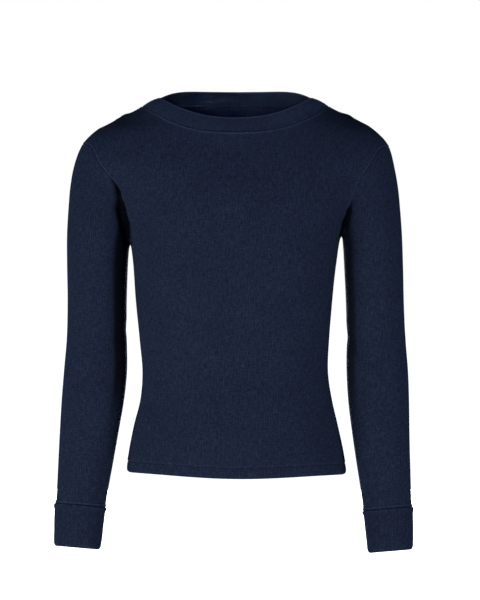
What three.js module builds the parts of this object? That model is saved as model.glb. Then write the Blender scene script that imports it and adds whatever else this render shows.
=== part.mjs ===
// A child's long-sleeved thermal top in fine rib knit, filled out as it is when worn, about size 128.
// A front, a back, two sleeves, a rib collar and two rib cuffs, each a wall of cloth of its own.
// The origin is the middle of the neck at the height of the shoulders' high points, where the wearer's
// shoulders hold the top up. +X is the viewer's right, -Y the front and +Z up. Sizes are in millimetres.

import * as THREE from 'three';

// Driving dimensions of the cloth.
const KNIT = 1.4;          // the body's and the sleeves' single knit
const RIB = 2.4;           // the collar's and the cuffs' rib, folded double
const HEM = 2.8;           // the hem, turned up once
const HEM_DEPTH = 13.5;
const SEAM_GAP = 0.3;

// Heights of the cut.
const HEM_Z = -475.5;      // the hem at the middle of the front
const HEM_SIDE_Z = -474.5;
const HEM_LIFT = 2.4;      // how far it rises between the middle and the side
const HEM_TILT = 1.4;      // how far it hangs higher at the left side than in the middle
const NECK_POINT_Z = 0;    // the collar seam on the shoulder
const NECK_FRONT_Z = -38.5;
const NECK_BACK_Z = 9.5;
const NECK_SCOOP = 2.6;    // how square the front neckline's curve is
const CUFF_SEAM_Z = -517;
const CUFF_END_Z = -570;
const CUFF_BULGE = 1.0;    // how far the gathered seam stands out over the sleeve
const CUFF_BULGE_END = 0.2; // the share of the cuff's height where that ends
const FOLD_ROUND = 0.9;    // how far a folded edge of rib rounds in
const FOLD_WALL = 0.78;    // what is left of its wall there

// The collar's folded top edge.
const COLLAR_TOP = {
  half: 97.8, front: 53, back: 47, frontZ: -18, sideZ: 12, backZ: 25, frontScoop: 2.3, backFlat: 12,
};
const COLLAR_SQUARENESS = 2.2;
const COLLAR_FULL = 1.5;      // how far the band bellies out halfway up
const COLLAR_TURN = 0.34;     // the share of its height in which it turns off the panel's slope

// The body's level sections, hem to neck: where its middle is, half its width, and how far its front
// and its back stand out. A squareness of 2 is an ellipse, and more is boxier.
const BODY_SECTIONS = [
  { z: -500, middle: 1.3, half: 144.0, front: 88, back: 90, square: 2.2 },
  { z: -475, middle: 1.3, half: 142.5, front: 88, back: 90, square: 2.2 },
  { z: -450, middle: 0.9, half: 139.8, front: 87, back: 88, square: 2.25 },
  { z: -415, middle: 0.5, half: 132.5, front: 84, back: 80, square: 2.3 },
  { z: -380, middle: 1.0, half: 124.0, front: 80, back: 69, square: 2.35 },
  { z: -345, middle: -0.2, half: 120.4, front: 78, back: 63, square: 2.35 },
  { z: -305, middle: -1.5, half: 122.8, front: 80, back: 65, square: 2.35 },
  { z: -250, middle: -1.9, half: 127.5, front: 85, back: 74, square: 2.35 },
  { z: -200, middle: -1.0, half: 132.0, front: 89, back: 83, square: 2.35 },
  { z: -165, middle: -0.6, half: 138.0, front: 90, back: 87, square: 2.3 },
  { z: -130, middle: 1.0, half: 152.5, front: 89, back: 89, square: 2.25 },
  { z: -100, middle: 0.6, half: 170.5, front: 85, back: 88, square: 2.2 },
  { z: -75, middle: -0.7, half: 189.6, front: 79, back: 86, square: 2.15 },
  { z: -52, middle: 0, half: 193.0, front: 71, back: 82, square: 2.1 },
  { z: -35, middle: 0.5, half: 181.0, front: 65, back: 78, square: 2.08 },
  { z: -18, middle: 1.4, half: 153.4, front: 58, back: 73, square: 2.05 },
  { z: 0, middle: 0, half: 121.5, front: 51, back: 67, square: 2.05 },
  { z: 12, middle: 0, half: 98.0, front: 46, back: 61, square: 2.05 },
];

// An arm's level sections, shoulder to wrist: its outer and inner side, its front and back, and how
// far both arms sway to the viewer's right.
const ARM_SECTIONS = [
  { z: -600, outer: 231.0, inner: 176.0, front: -68, back: -18, sway: 0 },
  { z: -571, outer: 230.8, inner: 172.0, front: -65, back: -13, sway: 0 },
  { z: -519, outer: 231.0, inner: 166.5, front: -60, back: -1, sway: 0 },
  { z: -508, outer: 229.3, inner: 165.5, front: -57, back: 2, sway: 0 },
  { z: -459, outer: 227.5, inner: 157.5, front: -51, back: 15, sway: 0.3 },
  { z: -420, outer: 226.5, inner: 151.5, front: -47, back: 25, sway: 0.6 },
  { z: -381, outer: 225.5, inner: 146.0, front: -44, back: 33, sway: 1.0 },
  { z: -342, outer: 223.5, inner: 143.0, front: -41, back: 39, sway: 1.5 },
  { z: -303, outer: 220.5, inner: 143.0, front: -39, back: 43, sway: 1.4 },
  { z: -250, outer: 218.5, inner: 142.5, front: -40, back: 46, sway: 0.6 },
  { z: -200, outer: 218.0, inner: 139.5, front: -42, back: 48, sway: -0.2 },
  { z: -165, outer: 217.5, inner: 134.0, front: -43, back: 48, sway: -0.8 },
  { z: -130, outer: 215.5, inner: 124.0, front: -42, back: 47, sway: -1.2 },
  { z: -100, outer: 212.5, inner: 118.0, front: -40, back: 45, sway: -1.4 },
  { z: -75, outer: 207.0, inner: 116.0, front: -36, back: 41, sway: -1.4 },
  { z: -52, outer: 194.0, inner: 120.0, front: -30, back: 34, sway: -0.6 },
  { z: -30, outer: 172.0, inner: 130.0, front: -20, back: 22, sway: 0 },
];

// The sleeves hang a little unevenly: how much higher and further out each wrist is, how much
// fuller the whole sleeve is to each side, and how far its inner side is taken in at the armpit.
const ARM_HANG = {
  left: { rise: 2.0, out: 0.6, fuller: 0.5, takenIn: 1.8 },
  right: { rise: -2.5, out: -3, fuller: -0.4, takenIn: 5.2 },
};
const ARMPIT_TAKE = { z: -150, reach: 45 }; // where a sleeve is taken in, and how far that spreads
const ARM_TOP_Z = -30;
const ELBOW_Z = -300;
const WRIST_LEAN = { out: 0.08, forward: 0.14 }; // the forearm's slopes, which also tilt its rings

// The largest folds: each a soft trough (depth below 0) or ridge along a line.
const FOLDS = [
  { from: [-157, -50, -92], to: [-134, -12, -176], width: 9, depth: -3.0 },
  { from: [160, -48, -96], to: [135, -14, -172], width: 9, depth: -2.2 },
  { from: [-118, -50, -318], to: [-80, -76, -372], width: 12, depth: -2.6 },
  { from: [-108, -58, -352], to: [-72, -82, -404], width: 12, depth: -2.0 },
  { from: [112, -54, -326], to: [78, -76, -378], width: 13, depth: -2.0 },
  { from: [-112, 52, -330], to: [-62, 66, -372], width: 14, depth: -2.8 },
  { from: [116, 50, -318], to: [66, 66, -366], width: 14, depth: -2.6 },
  { from: [-158, 52, -96], to: [-134, 18, -172], width: 10, depth: -1.8 },
  { from: [158, 52, -94], to: [134, 16, -172], width: 10, depth: -2.0 },
  { from: [-150, -26, -296], to: [-176, -41, -322], width: 11, depth: -1.8 },
  { from: [150, -24, -306], to: [178, -41, -334], width: 11, depth: -2.0 },
  { from: [-146, 22, -282], to: [-150, -20, -300], width: 11, depth: -1.6 },
  { from: [147, 20, -292], to: [151, -22, -310], width: 11, depth: -1.6 },
];

const ARM_SQUARENESS = 2.15;
const ARMPIT_BLEND = 5;       // how softly body and sleeve join under the arm
const SHOULDER_BLEND = 26;    // and over the shoulder
const ARMPIT_BLEND_Z = -160;  // up to here the one holds
const SHOULDER_BLEND_Z = -90; // and from here the other
const FAN_END_Z = -205;       // below this height the sleeve's rings are whole

// How finely the pieces are divided.
const HALF_COLUMNS = 14;      // of a panel, from its middle to its side
const NECK_COLUMNS = 9;       // of these that end on the neckline; the others end on the shoulder seam
const SIDE_ROWS = 11;
const ARMHOLE_ROWS = 13;      // on each of front and back, so twice as many columns round a sleeve
const FAN_ROWS = 6;
const SLEEVE_ROWS = 12;

// Between which heights an armhole turns in the armpit and on the shoulder, and how far from the
// middle of the front it stays.
const ARMPIT_BETWEEN = [-215, -120];
const SHOULDER_BETWEEN = [-20, -100];
const ARMHOLE_LEAST_ANGLE = 0.35;
const SHOULDER_SPACING = 1.25;  // above 1, a panel's columns lie closer near the neck point

const { lerp, clamp, smoothstep } = THREE.MathUtils;
const SIGN = { left: -1, right: 1 };
const QUARTER = Math.PI / 2;

// One section of a table at any height, smooth through its rows.
function sectionAt(rows, z) {
  let i = 0;
  while (i < rows.length - 2 && z > rows[i + 1].z) i += 1;
  const [before, a, b, after] = [-1, 0, 1, 2].map((k) => rows[clamp(i + k, 0, rows.length - 1)]);
  const span = b.z - a.z;
  const t = clamp((z - a.z) / span, 0, 1);
  const section = {};
  for (const key of Object.keys(a)) {
    const slopeA = (b[key] - before[key]) / (b.z - before.z);
    const slopeB = (after[key] - a[key]) / (after.z - a.z);
    section[key] = a[key] * (1 + 2 * t) * (1 - t) ** 2 + b[key] * t * t * (3 - 2 * t)
      + span * (slopeA * t * (1 - t) ** 2 - slopeB * t * t * (1 - t));
  }
  return section;
}

// How far a squared ellipse reaches from its middle in the direction of (x, y).
function reach(x, y, halfX, halfY, squareness) {
  const length = Math.hypot(x, y);
  const ratio = (Math.abs(x / halfX) ** squareness + Math.abs(y / halfY) ** squareness) ** (1 / squareness);
  return length / ratio;
}

// The body's section, with its middle as x.
function bodyAt(z, facing) {
  const section = sectionAt(BODY_SECTIONS, z);
  return { x: section.middle, halfX: section.half, halfY: section[facing], square: section.square };
}

// The arm's section on one side, in place.
function armAt(side, z) {
  const hang = ARM_HANG[side];
  const share = clamp((ELBOW_Z - z) / (ELBOW_Z - CUFF_SEAM_Z), 0, 1);
  const section = sectionAt(ARM_SECTIONS, z - hang.rise * share);
  const take = Math.exp(-(((z - ARMPIT_TAKE.z) / ARMPIT_TAKE.reach) ** 2));
  const inner = section.inner + hang.takenIn * take;
  return {
    x: section.sway + SIGN[side] * ((section.outer + inner) / 2 + hang.out * share),
    y: (section.front + section.back) / 2,
    halfX: (section.outer - inner) / 2 + hang.fuller,
    halfY: (section.back - section.front) / 2,
  };
}

// How far outside the body's and the arm's own forms a point lies, along the level.
function bodyClearance(p) {
  const body = bodyAt(p.z, p.y < 0 ? 'front' : 'back');
  const x = p.x - body.x;
  return Math.hypot(x, p.y) - reach(x, p.y, body.halfX, body.halfY, body.square);
}

function armClearance(side, p) {
  const arm = armAt(side, p.z);
  const [x, y] = [p.x - arm.x, p.y - arm.y];
  const above = Math.max(p.z - ARM_TOP_Z, 0);
  return Math.hypot(x, y) - reach(x, y, arm.halfX, arm.halfY, ARM_SQUARENESS) + above;
}

// How far the cloth stands off both forms where it bridges from one to the other.
function bridge(side, p) {
  const width = lerp(ARMPIT_BLEND, SHOULDER_BLEND, smoothstep(p.z, ARMPIT_BLEND_Z, SHOULDER_BLEND_Z));
  const share = Math.max(1 - Math.abs(bodyClearance(p) - armClearance(side, p)) / width, 0);
  return share * share * width / 4;
}

const sideOf = (x) => (x < 0 ? 'left' : 'right');

// A point of a form's outer face at a level, in the direction of an angle from its middle.
function facePoint(middle, dx, dy, z, squareness, side) {
  const base = reach(dx, dy, middle.halfX, middle.halfY, squareness);
  const length = Math.hypot(dx, dy);
  const p = new THREE.Vector3();
  let radius = base;
  for (let pass = 0; pass < 6; pass += 1) {
    p.set(middle.x + (dx / length) * radius, (middle.y ?? 0) + (dy / length) * radius, z);
    radius = base + bridge(side, p);
  }
  return p;
}

// On the body the angle is 0 at the middle of the front or back and 90 degrees at the right side.
function bodyPoint(facing, angle, z) {
  const body = bodyAt(z, facing);
  const dx = body.halfX * Math.sin(angle);
  const dy = (facing === 'front' ? -1 : 1) * body.halfY * Math.cos(angle);
  return facePoint(body, dx, dy, z, body.square, sideOf(dx));
}

// On a sleeve the angle is 0 towards the body, 90 degrees at the front and 180 on the outside.
function sleevePoint(side, angle, z) {
  const arm = armAt(side, z);
  const dx = -SIGN[side] * arm.halfX * Math.cos(angle);
  const dy = -arm.halfY * Math.sin(angle);
  return facePoint(arm, dx, dy, z, ARM_SQUARENESS, side);
}

// The direction straight out of the cloth.
function outward(p) {
  const clearance = (q) => {
    const side = sideOf(q.x);
    return Math.min(bodyClearance(q), armClearance(side, q)) - bridge(side, q);
  };
  const step = 0.4;
  const slopes = ['x', 'y', 'z'].map((axis) => {
    const [ahead, behind] = [p.clone(), p.clone()];
    ahead[axis] += step;
    behind[axis] -= step;
    return clearance(ahead) - clearance(behind);
  });
  return new THREE.Vector3(...slopes).normalize();
}

// How far the largest folds push the cloth out at a point.
function foldDepth(p) {
  let depth = 0;
  for (const fold of FOLDS) {
    const line = new THREE.Line3(new THREE.Vector3(...fold.from), new THREE.Vector3(...fold.to));
    const along = line.closestPointToPointParameter(p, false);
    const away = line.at(clamp(along, 0, 1), new THREE.Vector3()).distanceTo(p);
    const fade = clamp(1.15 - Math.abs(along - 0.5) * 1.3, 0, 1);
    depth += fold.depth * fade * Math.exp(-((away / fold.width) ** 2));
  }
  return depth;
}

// A place on the cloth: its outer point with the folds in, and the direction out of it.
function place(p) {
  const out = outward(p);
  return { at: p.clone().addScaledVector(out, foldDepth(p)), out };
}

// The value between low and high where a rising function crosses zero.
function crossing(low, high, rises) {
  let [a, b] = [low, high];
  for (let pass = 0; pass < 26; pass += 1) {
    const middle = (a + b) / 2;
    if (rises(middle) < 0) a = middle;
    else b = middle;
  }
  return (a + b) / 2;
}

// Where a sleeve is set in: the line on which body and arm clear a point equally.
function armholeTurn(side, between) {
  return crossing(...between, (z) => {
    const p = bodyPoint('front', SIGN[side] * QUARTER, z);
    return bodyClearance(p) - armClearance(side, p);
  });
}
const ARMPIT = {
  left: armholeTurn('left', ARMPIT_BETWEEN),
  right: armholeTurn('right', ARMPIT_BETWEEN),
};
const SHOULDER = {
  left: armholeTurn('left', SHOULDER_BETWEEN),
  right: armholeTurn('right', SHOULDER_BETWEEN),
};

// The armhole's heights, closest where it turns, and its angle on the body at each.
function armholeZ(side, k) {
  return lerp(ARMPIT[side], SHOULDER[side], (1 - Math.cos((Math.PI * k) / ARMHOLE_ROWS)) / 2);
}

function armholeAngle(side, facing, k) {
  if (k === 0 || k === ARMHOLE_ROWS) return QUARTER;
  const z = armholeZ(side, k);
  return crossing(ARMHOLE_LEAST_ANGLE, QUARTER, (angle) => {
    const p = bodyPoint(facing, SIGN[side] * angle, z);
    return bodyClearance(p) - armClearance(side, p);
  });
}

// The neckline on the cloth, its share 0 at the middle and 1 at the neck point.
const NECK_HALF = sectionAt(BODY_SECTIONS, NECK_POINT_Z).half;
function neckAngle(facing, share) {
  if (share >= 1) return QUARTER;
  if (share <= 0) return 0;
  const x = NECK_HALF * Math.sin(share * QUARTER);
  const z = necklineZ(facing, share);
  return crossing(0, QUARTER, (angle) => bodyPoint(facing, angle, z).x - x);
}

function necklineZ(facing, share) {
  const middle = facing === 'front' ? NECK_FRONT_Z : NECK_BACK_Z;
  return lerp(middle, NECK_POINT_Z, Math.sin(share * QUARTER) ** NECK_SCOOP);
}

// A panel's rows from the hem up: straight rows to the armpit, then rows that follow the armhole at
// their ends and turn into the neckline and the shoulder seams at the top.
const ARMPIT_MIDDLE = { front: -186, back: -182 };
const NECK_SHARE = NECK_COLUMNS / HALF_COLUMNS;
function panelRows() {
  const hemTop = HEM_DEPTH;
  const rows = [{ rise: 0, wall: HEM }, { rise: hemTop, wall: HEM }];
  const armpitRise = ARMPIT_MIDDLE.front - HEM_Z;
  for (let k = 0; k < SIDE_ROWS; k += 1) {
    rows.push({ rise: lerp(hemTop + 2, armpitRise, k / SIDE_ROWS), wall: KNIT });
  }
  for (const row of rows) row.share = row.rise / armpitRise;
  for (let k = 0; k <= ARMHOLE_ROWS; k += 1) rows.push({ armhole: k, wall: KNIT });
  return rows;
}
const PANEL_ROWS = panelRows();

// A point below the armpit; across is 0 at the middle and 1 at the side.
function lowerPoint(facing, side, share, across) {
  const bow = Math.sin(across * QUARTER) ** NECK_SCOOP;
  const tilt = -SIGN[side] * HEM_TILT * Math.sin(across * QUARTER);
  const hem = lerp(HEM_Z, HEM_SIDE_Z, bow) + HEM_LIFT * Math.sin(2 * across * QUARTER) ** 2 + tilt;
  const armpit = lerp(ARMPIT_MIDDLE[facing], ARMPIT[side], bow);
  return bodyPoint(facing, SIGN[side] * across * QUARTER, lerp(hem, armpit, share));
}

// The panel's top edge: the neckline, then the shoulder seam.
function topPoint(facing, side, across) {
  const past = (across - NECK_SHARE) / (1 - NECK_SHARE);
  if (past >= 0) {
    const z = lerp(NECK_POINT_Z, SHOULDER[side], past ** SHOULDER_SPACING);
    return bodyPoint(facing, SIGN[side] * QUARTER, z);
  }
  const share = across / NECK_SHARE;
  return bodyPoint(facing, SIGN[side] * neckAngle(facing, share), necklineZ(facing, share));
}

function armholePoint(facing, side, k) {
  return bodyPoint(facing, SIGN[side] * armholeAngle(side, facing, k), armholeZ(side, k));
}

// Between armpit and top edge the rows blend the four edges around them, back on the form.
const edgePoints = new Map();
function kept(key, make) {
  if (!edgePoints.has(key)) edgePoints.set(key, make());
  return edgePoints.get(key).clone();
}

function upperPoint(facing, side, k, across) {
  const up = k / ARMHOLE_ROWS;
  const name = `${facing} ${side}`;
  const low = (share) => kept(`${name} low ${share}`, () => lowerPoint(facing, side, 1, share));
  const high = (share) => kept(`${name} high ${share}`, () => topPoint(facing, side, share));
  const armhole = kept(`${name} armhole ${k}`, () => armholePoint(facing, side, k));
  const middle = kept(`${name} middle ${k}`, () => {
    return bodyPoint(facing, 0, lerp(low(0).z, high(0).z, up));
  });
  const blended = low(across).lerp(high(across), up).add(middle.lerp(armhole, across));
  blended.sub(low(0).lerp(low(1), across).lerp(high(0).lerp(high(1), across), up));
  const body = bodyAt(blended.z, facing);
  const angle = Math.atan2((blended.x - body.x) / body.halfX, Math.abs(blended.y) / body.halfY);
  return bodyPoint(facing, angle, blended.z);
}

// A place of a panel: column c runs from 0 at the left edge to twice the half columns at the right.
function panelPlace(facing, row, c) {
  const across = Math.abs(c - HALF_COLUMNS) / HALF_COLUMNS;
  const side = c < HALF_COLUMNS ? 'left' : 'right';
  return place(row.armhole === undefined
    ? lowerPoint(facing, side, row.share, across)
    : upperPoint(facing, side, row.armhole, across));
}

// The direction across a seam, in the cloth and square to its line, from its neighbours on the line.
function seamWay(before, after, out) {
  return after.clone().sub(before).cross(out).normalize();
}

// A closed wall between an outer and an inner grid of points; a tube's rows close on themselves.
function closedWall(outer, inner, isTube) {
  const rows = outer.length;
  const columns = outer[0].length;
  const positions = [];
  for (const grid of [outer, inner]) {
    for (const row of grid) for (const p of row) positions.push(p.x, p.y, p.z);
  }
  const index = (layer, r, c) => layer * rows * columns + r * columns + (c % columns);
  const faces = [];
  const quad = (a, b, c, d) => faces.push(a, b, c, a, c, d);
  const spans = isTube ? columns : columns - 1;
  for (let r = 0; r < rows - 1; r += 1) {
    for (let c = 0; c < spans; c += 1) {
      quad(index(0, r, c), index(0, r, c + 1), index(0, r + 1, c + 1), index(0, r + 1, c));
      quad(index(1, r, c), index(1, r + 1, c), index(1, r + 1, c + 1), index(1, r, c + 1));
    }
  }
  for (let c = 0; c < spans; c += 1) {
    quad(index(0, 0, c), index(1, 0, c), index(1, 0, c + 1), index(0, 0, c + 1));
    const end = rows - 1;
    quad(index(0, end, c), index(0, end, c + 1), index(1, end, c + 1), index(1, end, c));
  }
  if (!isTube) {
    for (let r = 0; r < rows - 1; r += 1) {
      quad(index(0, r, 0), index(0, r + 1, 0), index(1, r + 1, 0), index(1, r, 0));
      const last = columns - 1;
      quad(index(0, r, last), index(1, r, last), index(1, r + 1, last), index(0, r + 1, last));
    }
  }
  const geometry = new THREE.BufferGeometry();
  geometry.setAttribute('position', new THREE.Float32BufferAttribute(positions, 3));
  geometry.setIndex(signedVolume(positions, faces) < 0 ? faces.reverse() : faces);
  geometry.computeVertexNormals();
  return geometry;
}

function signedVolume(positions, faces) {
  const corner = (i) => new THREE.Vector3().fromArray(positions, 3 * i);
  let volume = 0;
  for (let f = 0; f < faces.length; f += 3) {
    volume += corner(faces[f]).dot(corner(faces[f + 1]).cross(corner(faces[f + 2])));
  }
  return volume;
}

// The collar's line at the seam and its line along the folded top edge, over both facings.
function neckLoop() {
  const loop = [];
  const topRow = PANEL_ROWS[PANEL_ROWS.length - 1];
  for (let step = 0; step < 4 * NECK_COLUMNS; step += 1) {
    const facing = step < 2 * NECK_COLUMNS ? 'front' : 'back';
    const from = facing === 'front' ? step - NECK_COLUMNS : 3 * NECK_COLUMNS - step;
    const { at, out } = panelPlace(facing, topRow, from + HALF_COLUMNS);
    loop.push({ at, out, top: collarTop(facing, from / NECK_COLUMNS) });
  }
  for (let c = 0; c < loop.length; c += 1) {
    const [before, after] = [loop[(c + loop.length - 1) % loop.length], loop[(c + 1) % loop.length]];
    const along = after.at.clone().sub(before.at).normalize();
    const up = loop[c].top.clone().sub(loop[c].at).normalize();
    const collarOut = along.clone().cross(up).normalize();
    if (collarOut.dot(loop[c].out) < 0) collarOut.negate();
    loop[c].collarOut = collarOut;
    loop[c].mitre = collarOut.clone().add(loop[c].out).normalize();
    const way = along.clone().cross(loop[c].mitre).normalize();
    loop[c].way = way.dot(up) < 0 ? way.negate() : way;
  }
  return loop;
}

function collarTop(facing, across) {
  const share = Math.abs(across);
  const [sine, cosine] = [Math.sin(share * QUARTER), Math.cos(share * QUARTER)];
  const depth = facing === 'front' ? COLLAR_TOP.front : COLLAR_TOP.back;
  const [dx, dy] = [COLLAR_TOP.half * sine, depth * cosine];
  const scale = reach(dx, dy, COLLAR_TOP.half, depth, COLLAR_SQUARENESS) / Math.hypot(dx, dy);
  const x = COLLAR_TOP.half * sine * scale;
  const y = depth * cosine * scale;
  const middle = facing === 'front' ? COLLAR_TOP.frontZ : COLLAR_TOP.backZ;
  const power = facing === 'front' ? COLLAR_TOP.frontScoop : COLLAR_TOP.backFlat;
  const z = lerp(middle, COLLAR_TOP.sideZ, (x / COLLAR_TOP.half) ** power);
  return new THREE.Vector3(Math.sign(across) * x, facing === 'front' ? -y : y, z);
}

const NECK_LOOP = neckLoop();

// The stop of the neck loop that a panel's column ends on, if it ends on the neckline.
function neckStop(facing, c) {
  const from = c - HALF_COLUMNS;
  if (Math.abs(from) > NECK_COLUMNS) return null;
  const step = facing === 'front' ? from + NECK_COLUMNS : 3 * NECK_COLUMNS - from;
  return NECK_LOOP[step % NECK_LOOP.length];
}

// The armhole's ring of places from the armpit up the front, over the shoulder and down the back,
// with the way across its seam pointing into the sleeve.
function armholeRing(side) {
  const ring = [];
  for (let j = 0; j < 2 * ARMHOLE_ROWS; j += 1) {
    const facing = j <= ARMHOLE_ROWS ? 'front' : 'back';
    const k = j <= ARMHOLE_ROWS ? j : 2 * ARMHOLE_ROWS - j;
    const base = armholePoint(facing, side, k);
    ring.push({ ...place(base), base, z: base.z });
  }
  ring.forEach((stop, j) => {
    const before = ring[(j + ring.length - 1) % ring.length];
    const after = ring[(j + 1) % ring.length];
    stop.way = seamWay(before.at, after.at, stop.out);
    if (stop.way.dot(new THREE.Vector3(SIGN[side], 0, -0.6)) < 0) stop.way.negate();
  });
  return ring;
}
const ARMHOLES = { left: armholeRing('left'), right: armholeRing('right') };

function panel(facing) {
  const toMiddle = facing === 'front' ? -SEAM_GAP / 2 : SEAM_GAP / 2;
  const last = 2 * HALF_COLUMNS;
  const outer = [];
  const inner = [];
  for (const row of PANEL_ROWS) {
    const isTop = row.armhole === ARMHOLE_ROWS;
    const outerRow = [];
    const innerRow = [];
    for (let c = 0; c <= last; c += 1) {
      const { at, out } = panelPlace(facing, row, c);
      const isEdge = c === 0 || c === last;
      const stop = isTop ? neckStop(facing, c) : null;
      const onNeckPoint = Math.abs(c - HALF_COLUMNS) === NECK_COLUMNS;
      const inArmhole = isEdge && row.armhole !== undefined;
      if (stop) at.addScaledVector(stop.way, -SEAM_GAP / 2);
      if (inArmhole) {
        const ring = ARMHOLES[c === 0 ? 'left' : 'right'];
        const j = facing === 'front' ? row.armhole : 2 * ARMHOLE_ROWS - row.armhole;
        at.addScaledVector(ring[j % ring.length].way, -SEAM_GAP / 2);
      }
      const onSideSeam = isEdge && (!inArmhole || row.armhole === 0);
      const onShoulderSeam = isTop && (!stop || onNeckPoint);
      if (onSideSeam || onShoulderSeam) at.y += toMiddle;
      outerRow.push(at);
      innerRow.push(at.clone().addScaledVector(stop ? stop.mitre : out, -row.wall));
    }
    outer.push(outerRow);
    inner.push(innerRow);
  }
  return closedWall(outer, inner, false);
}

// A whole ring of the sleeve, tilted with the forearm below the elbow.
function sleeveRing(side, z, count) {
  const share = clamp((ELBOW_Z - z) / (ELBOW_Z - CUFF_SEAM_Z), 0, 1);
  const ring = [];
  for (let j = 0; j < count; j += 1) {
    const angle = (2 * Math.PI * j) / count;
    const level = sleevePoint(side, angle, z);
    const arm = armAt(side, z);
    const tilt = WRIST_LEAN.out * SIGN[side] * (level.x - arm.x) - WRIST_LEAN.forward * (level.y - arm.y);
    ring.push(place(sleevePoint(side, angle, z + tilt * share)));
  }
  return ring;
}

// The angle round the sleeve of a point on it.
function sleeveAngle(side, p) {
  const arm = armAt(side, p.z);
  return Math.atan2(-(p.y - arm.y) / arm.halfY, -SIGN[side] * (p.x - arm.x) / arm.halfX);
}

function sleeve(side) {
  const armhole = ARMHOLES[side];
  const count = armhole.length;
  const rings = [];
  rings.push(armhole.map((stop) => ({
    at: stop.at.clone().addScaledVector(stop.way, SEAM_GAP / 2), out: stop.out,
  })));
  for (let k = 1; k < FAN_ROWS; k += 1) {
    const share = k / FAN_ROWS;
    rings.push(armhole.map((stop, j) => {
      let from = sleeveAngle(side, stop.base);
      const to = (2 * Math.PI * j) / count;
      if (from < to - Math.PI) from += 2 * Math.PI;
      return place(sleevePoint(side, lerp(from, to, share), lerp(stop.z, FAN_END_Z, share)));
    }));
  }
  const seam = CUFF_SEAM_Z + ARM_HANG[side].rise;
  for (let k = 0; k <= SLEEVE_ROWS; k += 1) {
    const end = k === SLEEVE_ROWS ? SEAM_GAP / 2 : 0;
    rings.push(sleeveRing(side, lerp(FAN_END_Z, seam, k / SLEEVE_ROWS) + end, count));
  }
  const outer = rings.map((ring) => ring.map((stop) => stop.at));
  const inner = rings.map((ring) => ring.map((stop) => stop.at.clone().addScaledVector(stop.out, -KNIT)));
  return closedWall(outer, inner, true);
}

// A cuff is a tube of rib; its seam stands out over the sleeve and it draws in below.
function cuff(side) {
  const { rise } = ARM_HANG[side];
  const [seam, end] = [CUFF_SEAM_Z + rise - SEAM_GAP / 2, CUFF_END_Z + rise];
  const heights = [0, 0.14, 0.5, 0.93, 1];
  const outer = [];
  const inner = [];
  for (const share of heights) {
    const ring = sleeveRing(side, lerp(seam, end, share), 2 * ARMHOLE_ROWS);
    const [fold, wall] = share === 1 ? [FOLD_ROUND, FOLD_WALL] : [0, RIB];
    const bulge = CUFF_BULGE * (1 - smoothstep(share, 0, CUFF_BULGE_END)) - fold;
    outer.push(ring.map((stop) => stop.at.clone().addScaledVector(stop.out, bulge)));
    inner.push(ring.map((stop) => stop.at.clone().addScaledVector(stop.out, bulge - wall)));
  }
  return closedWall(outer, inner, true);
}

// The collar leans in from its seam to its folded edge, a little fuller halfway up.
function collar() {
  const outer = [];
  const inner = [];
  const heights = [0, COLLAR_TURN, 0.68, 0.95, 1];
  for (const share of heights) {
    const [fold, wall] = share === 1 ? [FOLD_ROUND, FOLD_WALL] : [0, RIB];
    const full = COLLAR_FULL * Math.sin(Math.PI * share);
    const outerRow = [];
    const innerRow = [];
    for (const stop of NECK_LOOP) {
      const turn = Math.min(share / COLLAR_TURN, 1);
      const through = stop.mitre.clone().lerp(stop.collarOut, turn).normalize();
      const from = stop.at.clone().addScaledVector(stop.way, SEAM_GAP / 2);
      const at = from.lerp(stop.top, share).addScaledVector(through, full - fold);
      outerRow.push(at);
      innerRow.push(at.clone().addScaledVector(through, -wall));
    }
    outer.push(outerRow);
    inner.push(innerRow);
  }
  return closedWall(outer, inner, true);
}

const NAVY = new THREE.MeshStandardMaterial({ color: 0x1a2235, roughness: 0.92, metalness: 0 });
const NAVY_RIB = new THREE.MeshStandardMaterial({ color: 0x182033, roughness: 0.92, metalness: 0 });

const pieces = {
  front_panel: [panel('front'), NAVY],
  back_panel: [panel('back'), NAVY],
  sleeve_left: [sleeve('left'), NAVY],
  sleeve_right: [sleeve('right'), NAVY],
  collar: [collar(), NAVY_RIB],
  cuff_left: [cuff('left'), NAVY_RIB],
  cuff_right: [cuff('right'), NAVY_RIB],
};

const top = new THREE.Group();
top.name = 'thermal_top';
for (const [name, [geometry, material]] of Object.entries(pieces)) {
  const mesh = new THREE.Mesh(geometry, material);
  mesh.name = name;
  top.add(mesh);
}

export default top;
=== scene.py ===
# %% [markdown]
# # A child's thermal top, piece by piece
# The top is knitted cotton: a front, a back, two sleeves, a collar band and two cuffs. It stands in
# the air as it does when worn, open at the neck, the hem and the cuffs. The frame that is loaded here
# gives the plain solids of those pieces at their real size. Each one is replaced by a finer shell of
# the same form, with its seams, stitches, creases and knit.

# %% Load the frame
import math
import bmesh
import bpy
import numpy as np
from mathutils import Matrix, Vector


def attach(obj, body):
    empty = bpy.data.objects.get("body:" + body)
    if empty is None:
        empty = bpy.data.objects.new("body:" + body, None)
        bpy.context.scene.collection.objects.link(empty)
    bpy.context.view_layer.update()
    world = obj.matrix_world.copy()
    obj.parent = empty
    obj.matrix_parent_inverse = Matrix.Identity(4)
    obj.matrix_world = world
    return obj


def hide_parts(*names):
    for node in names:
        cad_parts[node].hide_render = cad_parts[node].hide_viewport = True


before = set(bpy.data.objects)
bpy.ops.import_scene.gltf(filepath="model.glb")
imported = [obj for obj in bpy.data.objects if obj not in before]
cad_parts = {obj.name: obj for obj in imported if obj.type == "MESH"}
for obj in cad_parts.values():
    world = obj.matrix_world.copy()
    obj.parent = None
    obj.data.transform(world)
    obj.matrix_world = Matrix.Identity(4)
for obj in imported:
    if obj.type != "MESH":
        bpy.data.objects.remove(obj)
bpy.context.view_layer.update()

BODY = "root"
MM = 0.001
print("pieces in the frame:", ", ".join(sorted(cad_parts)))

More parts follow.
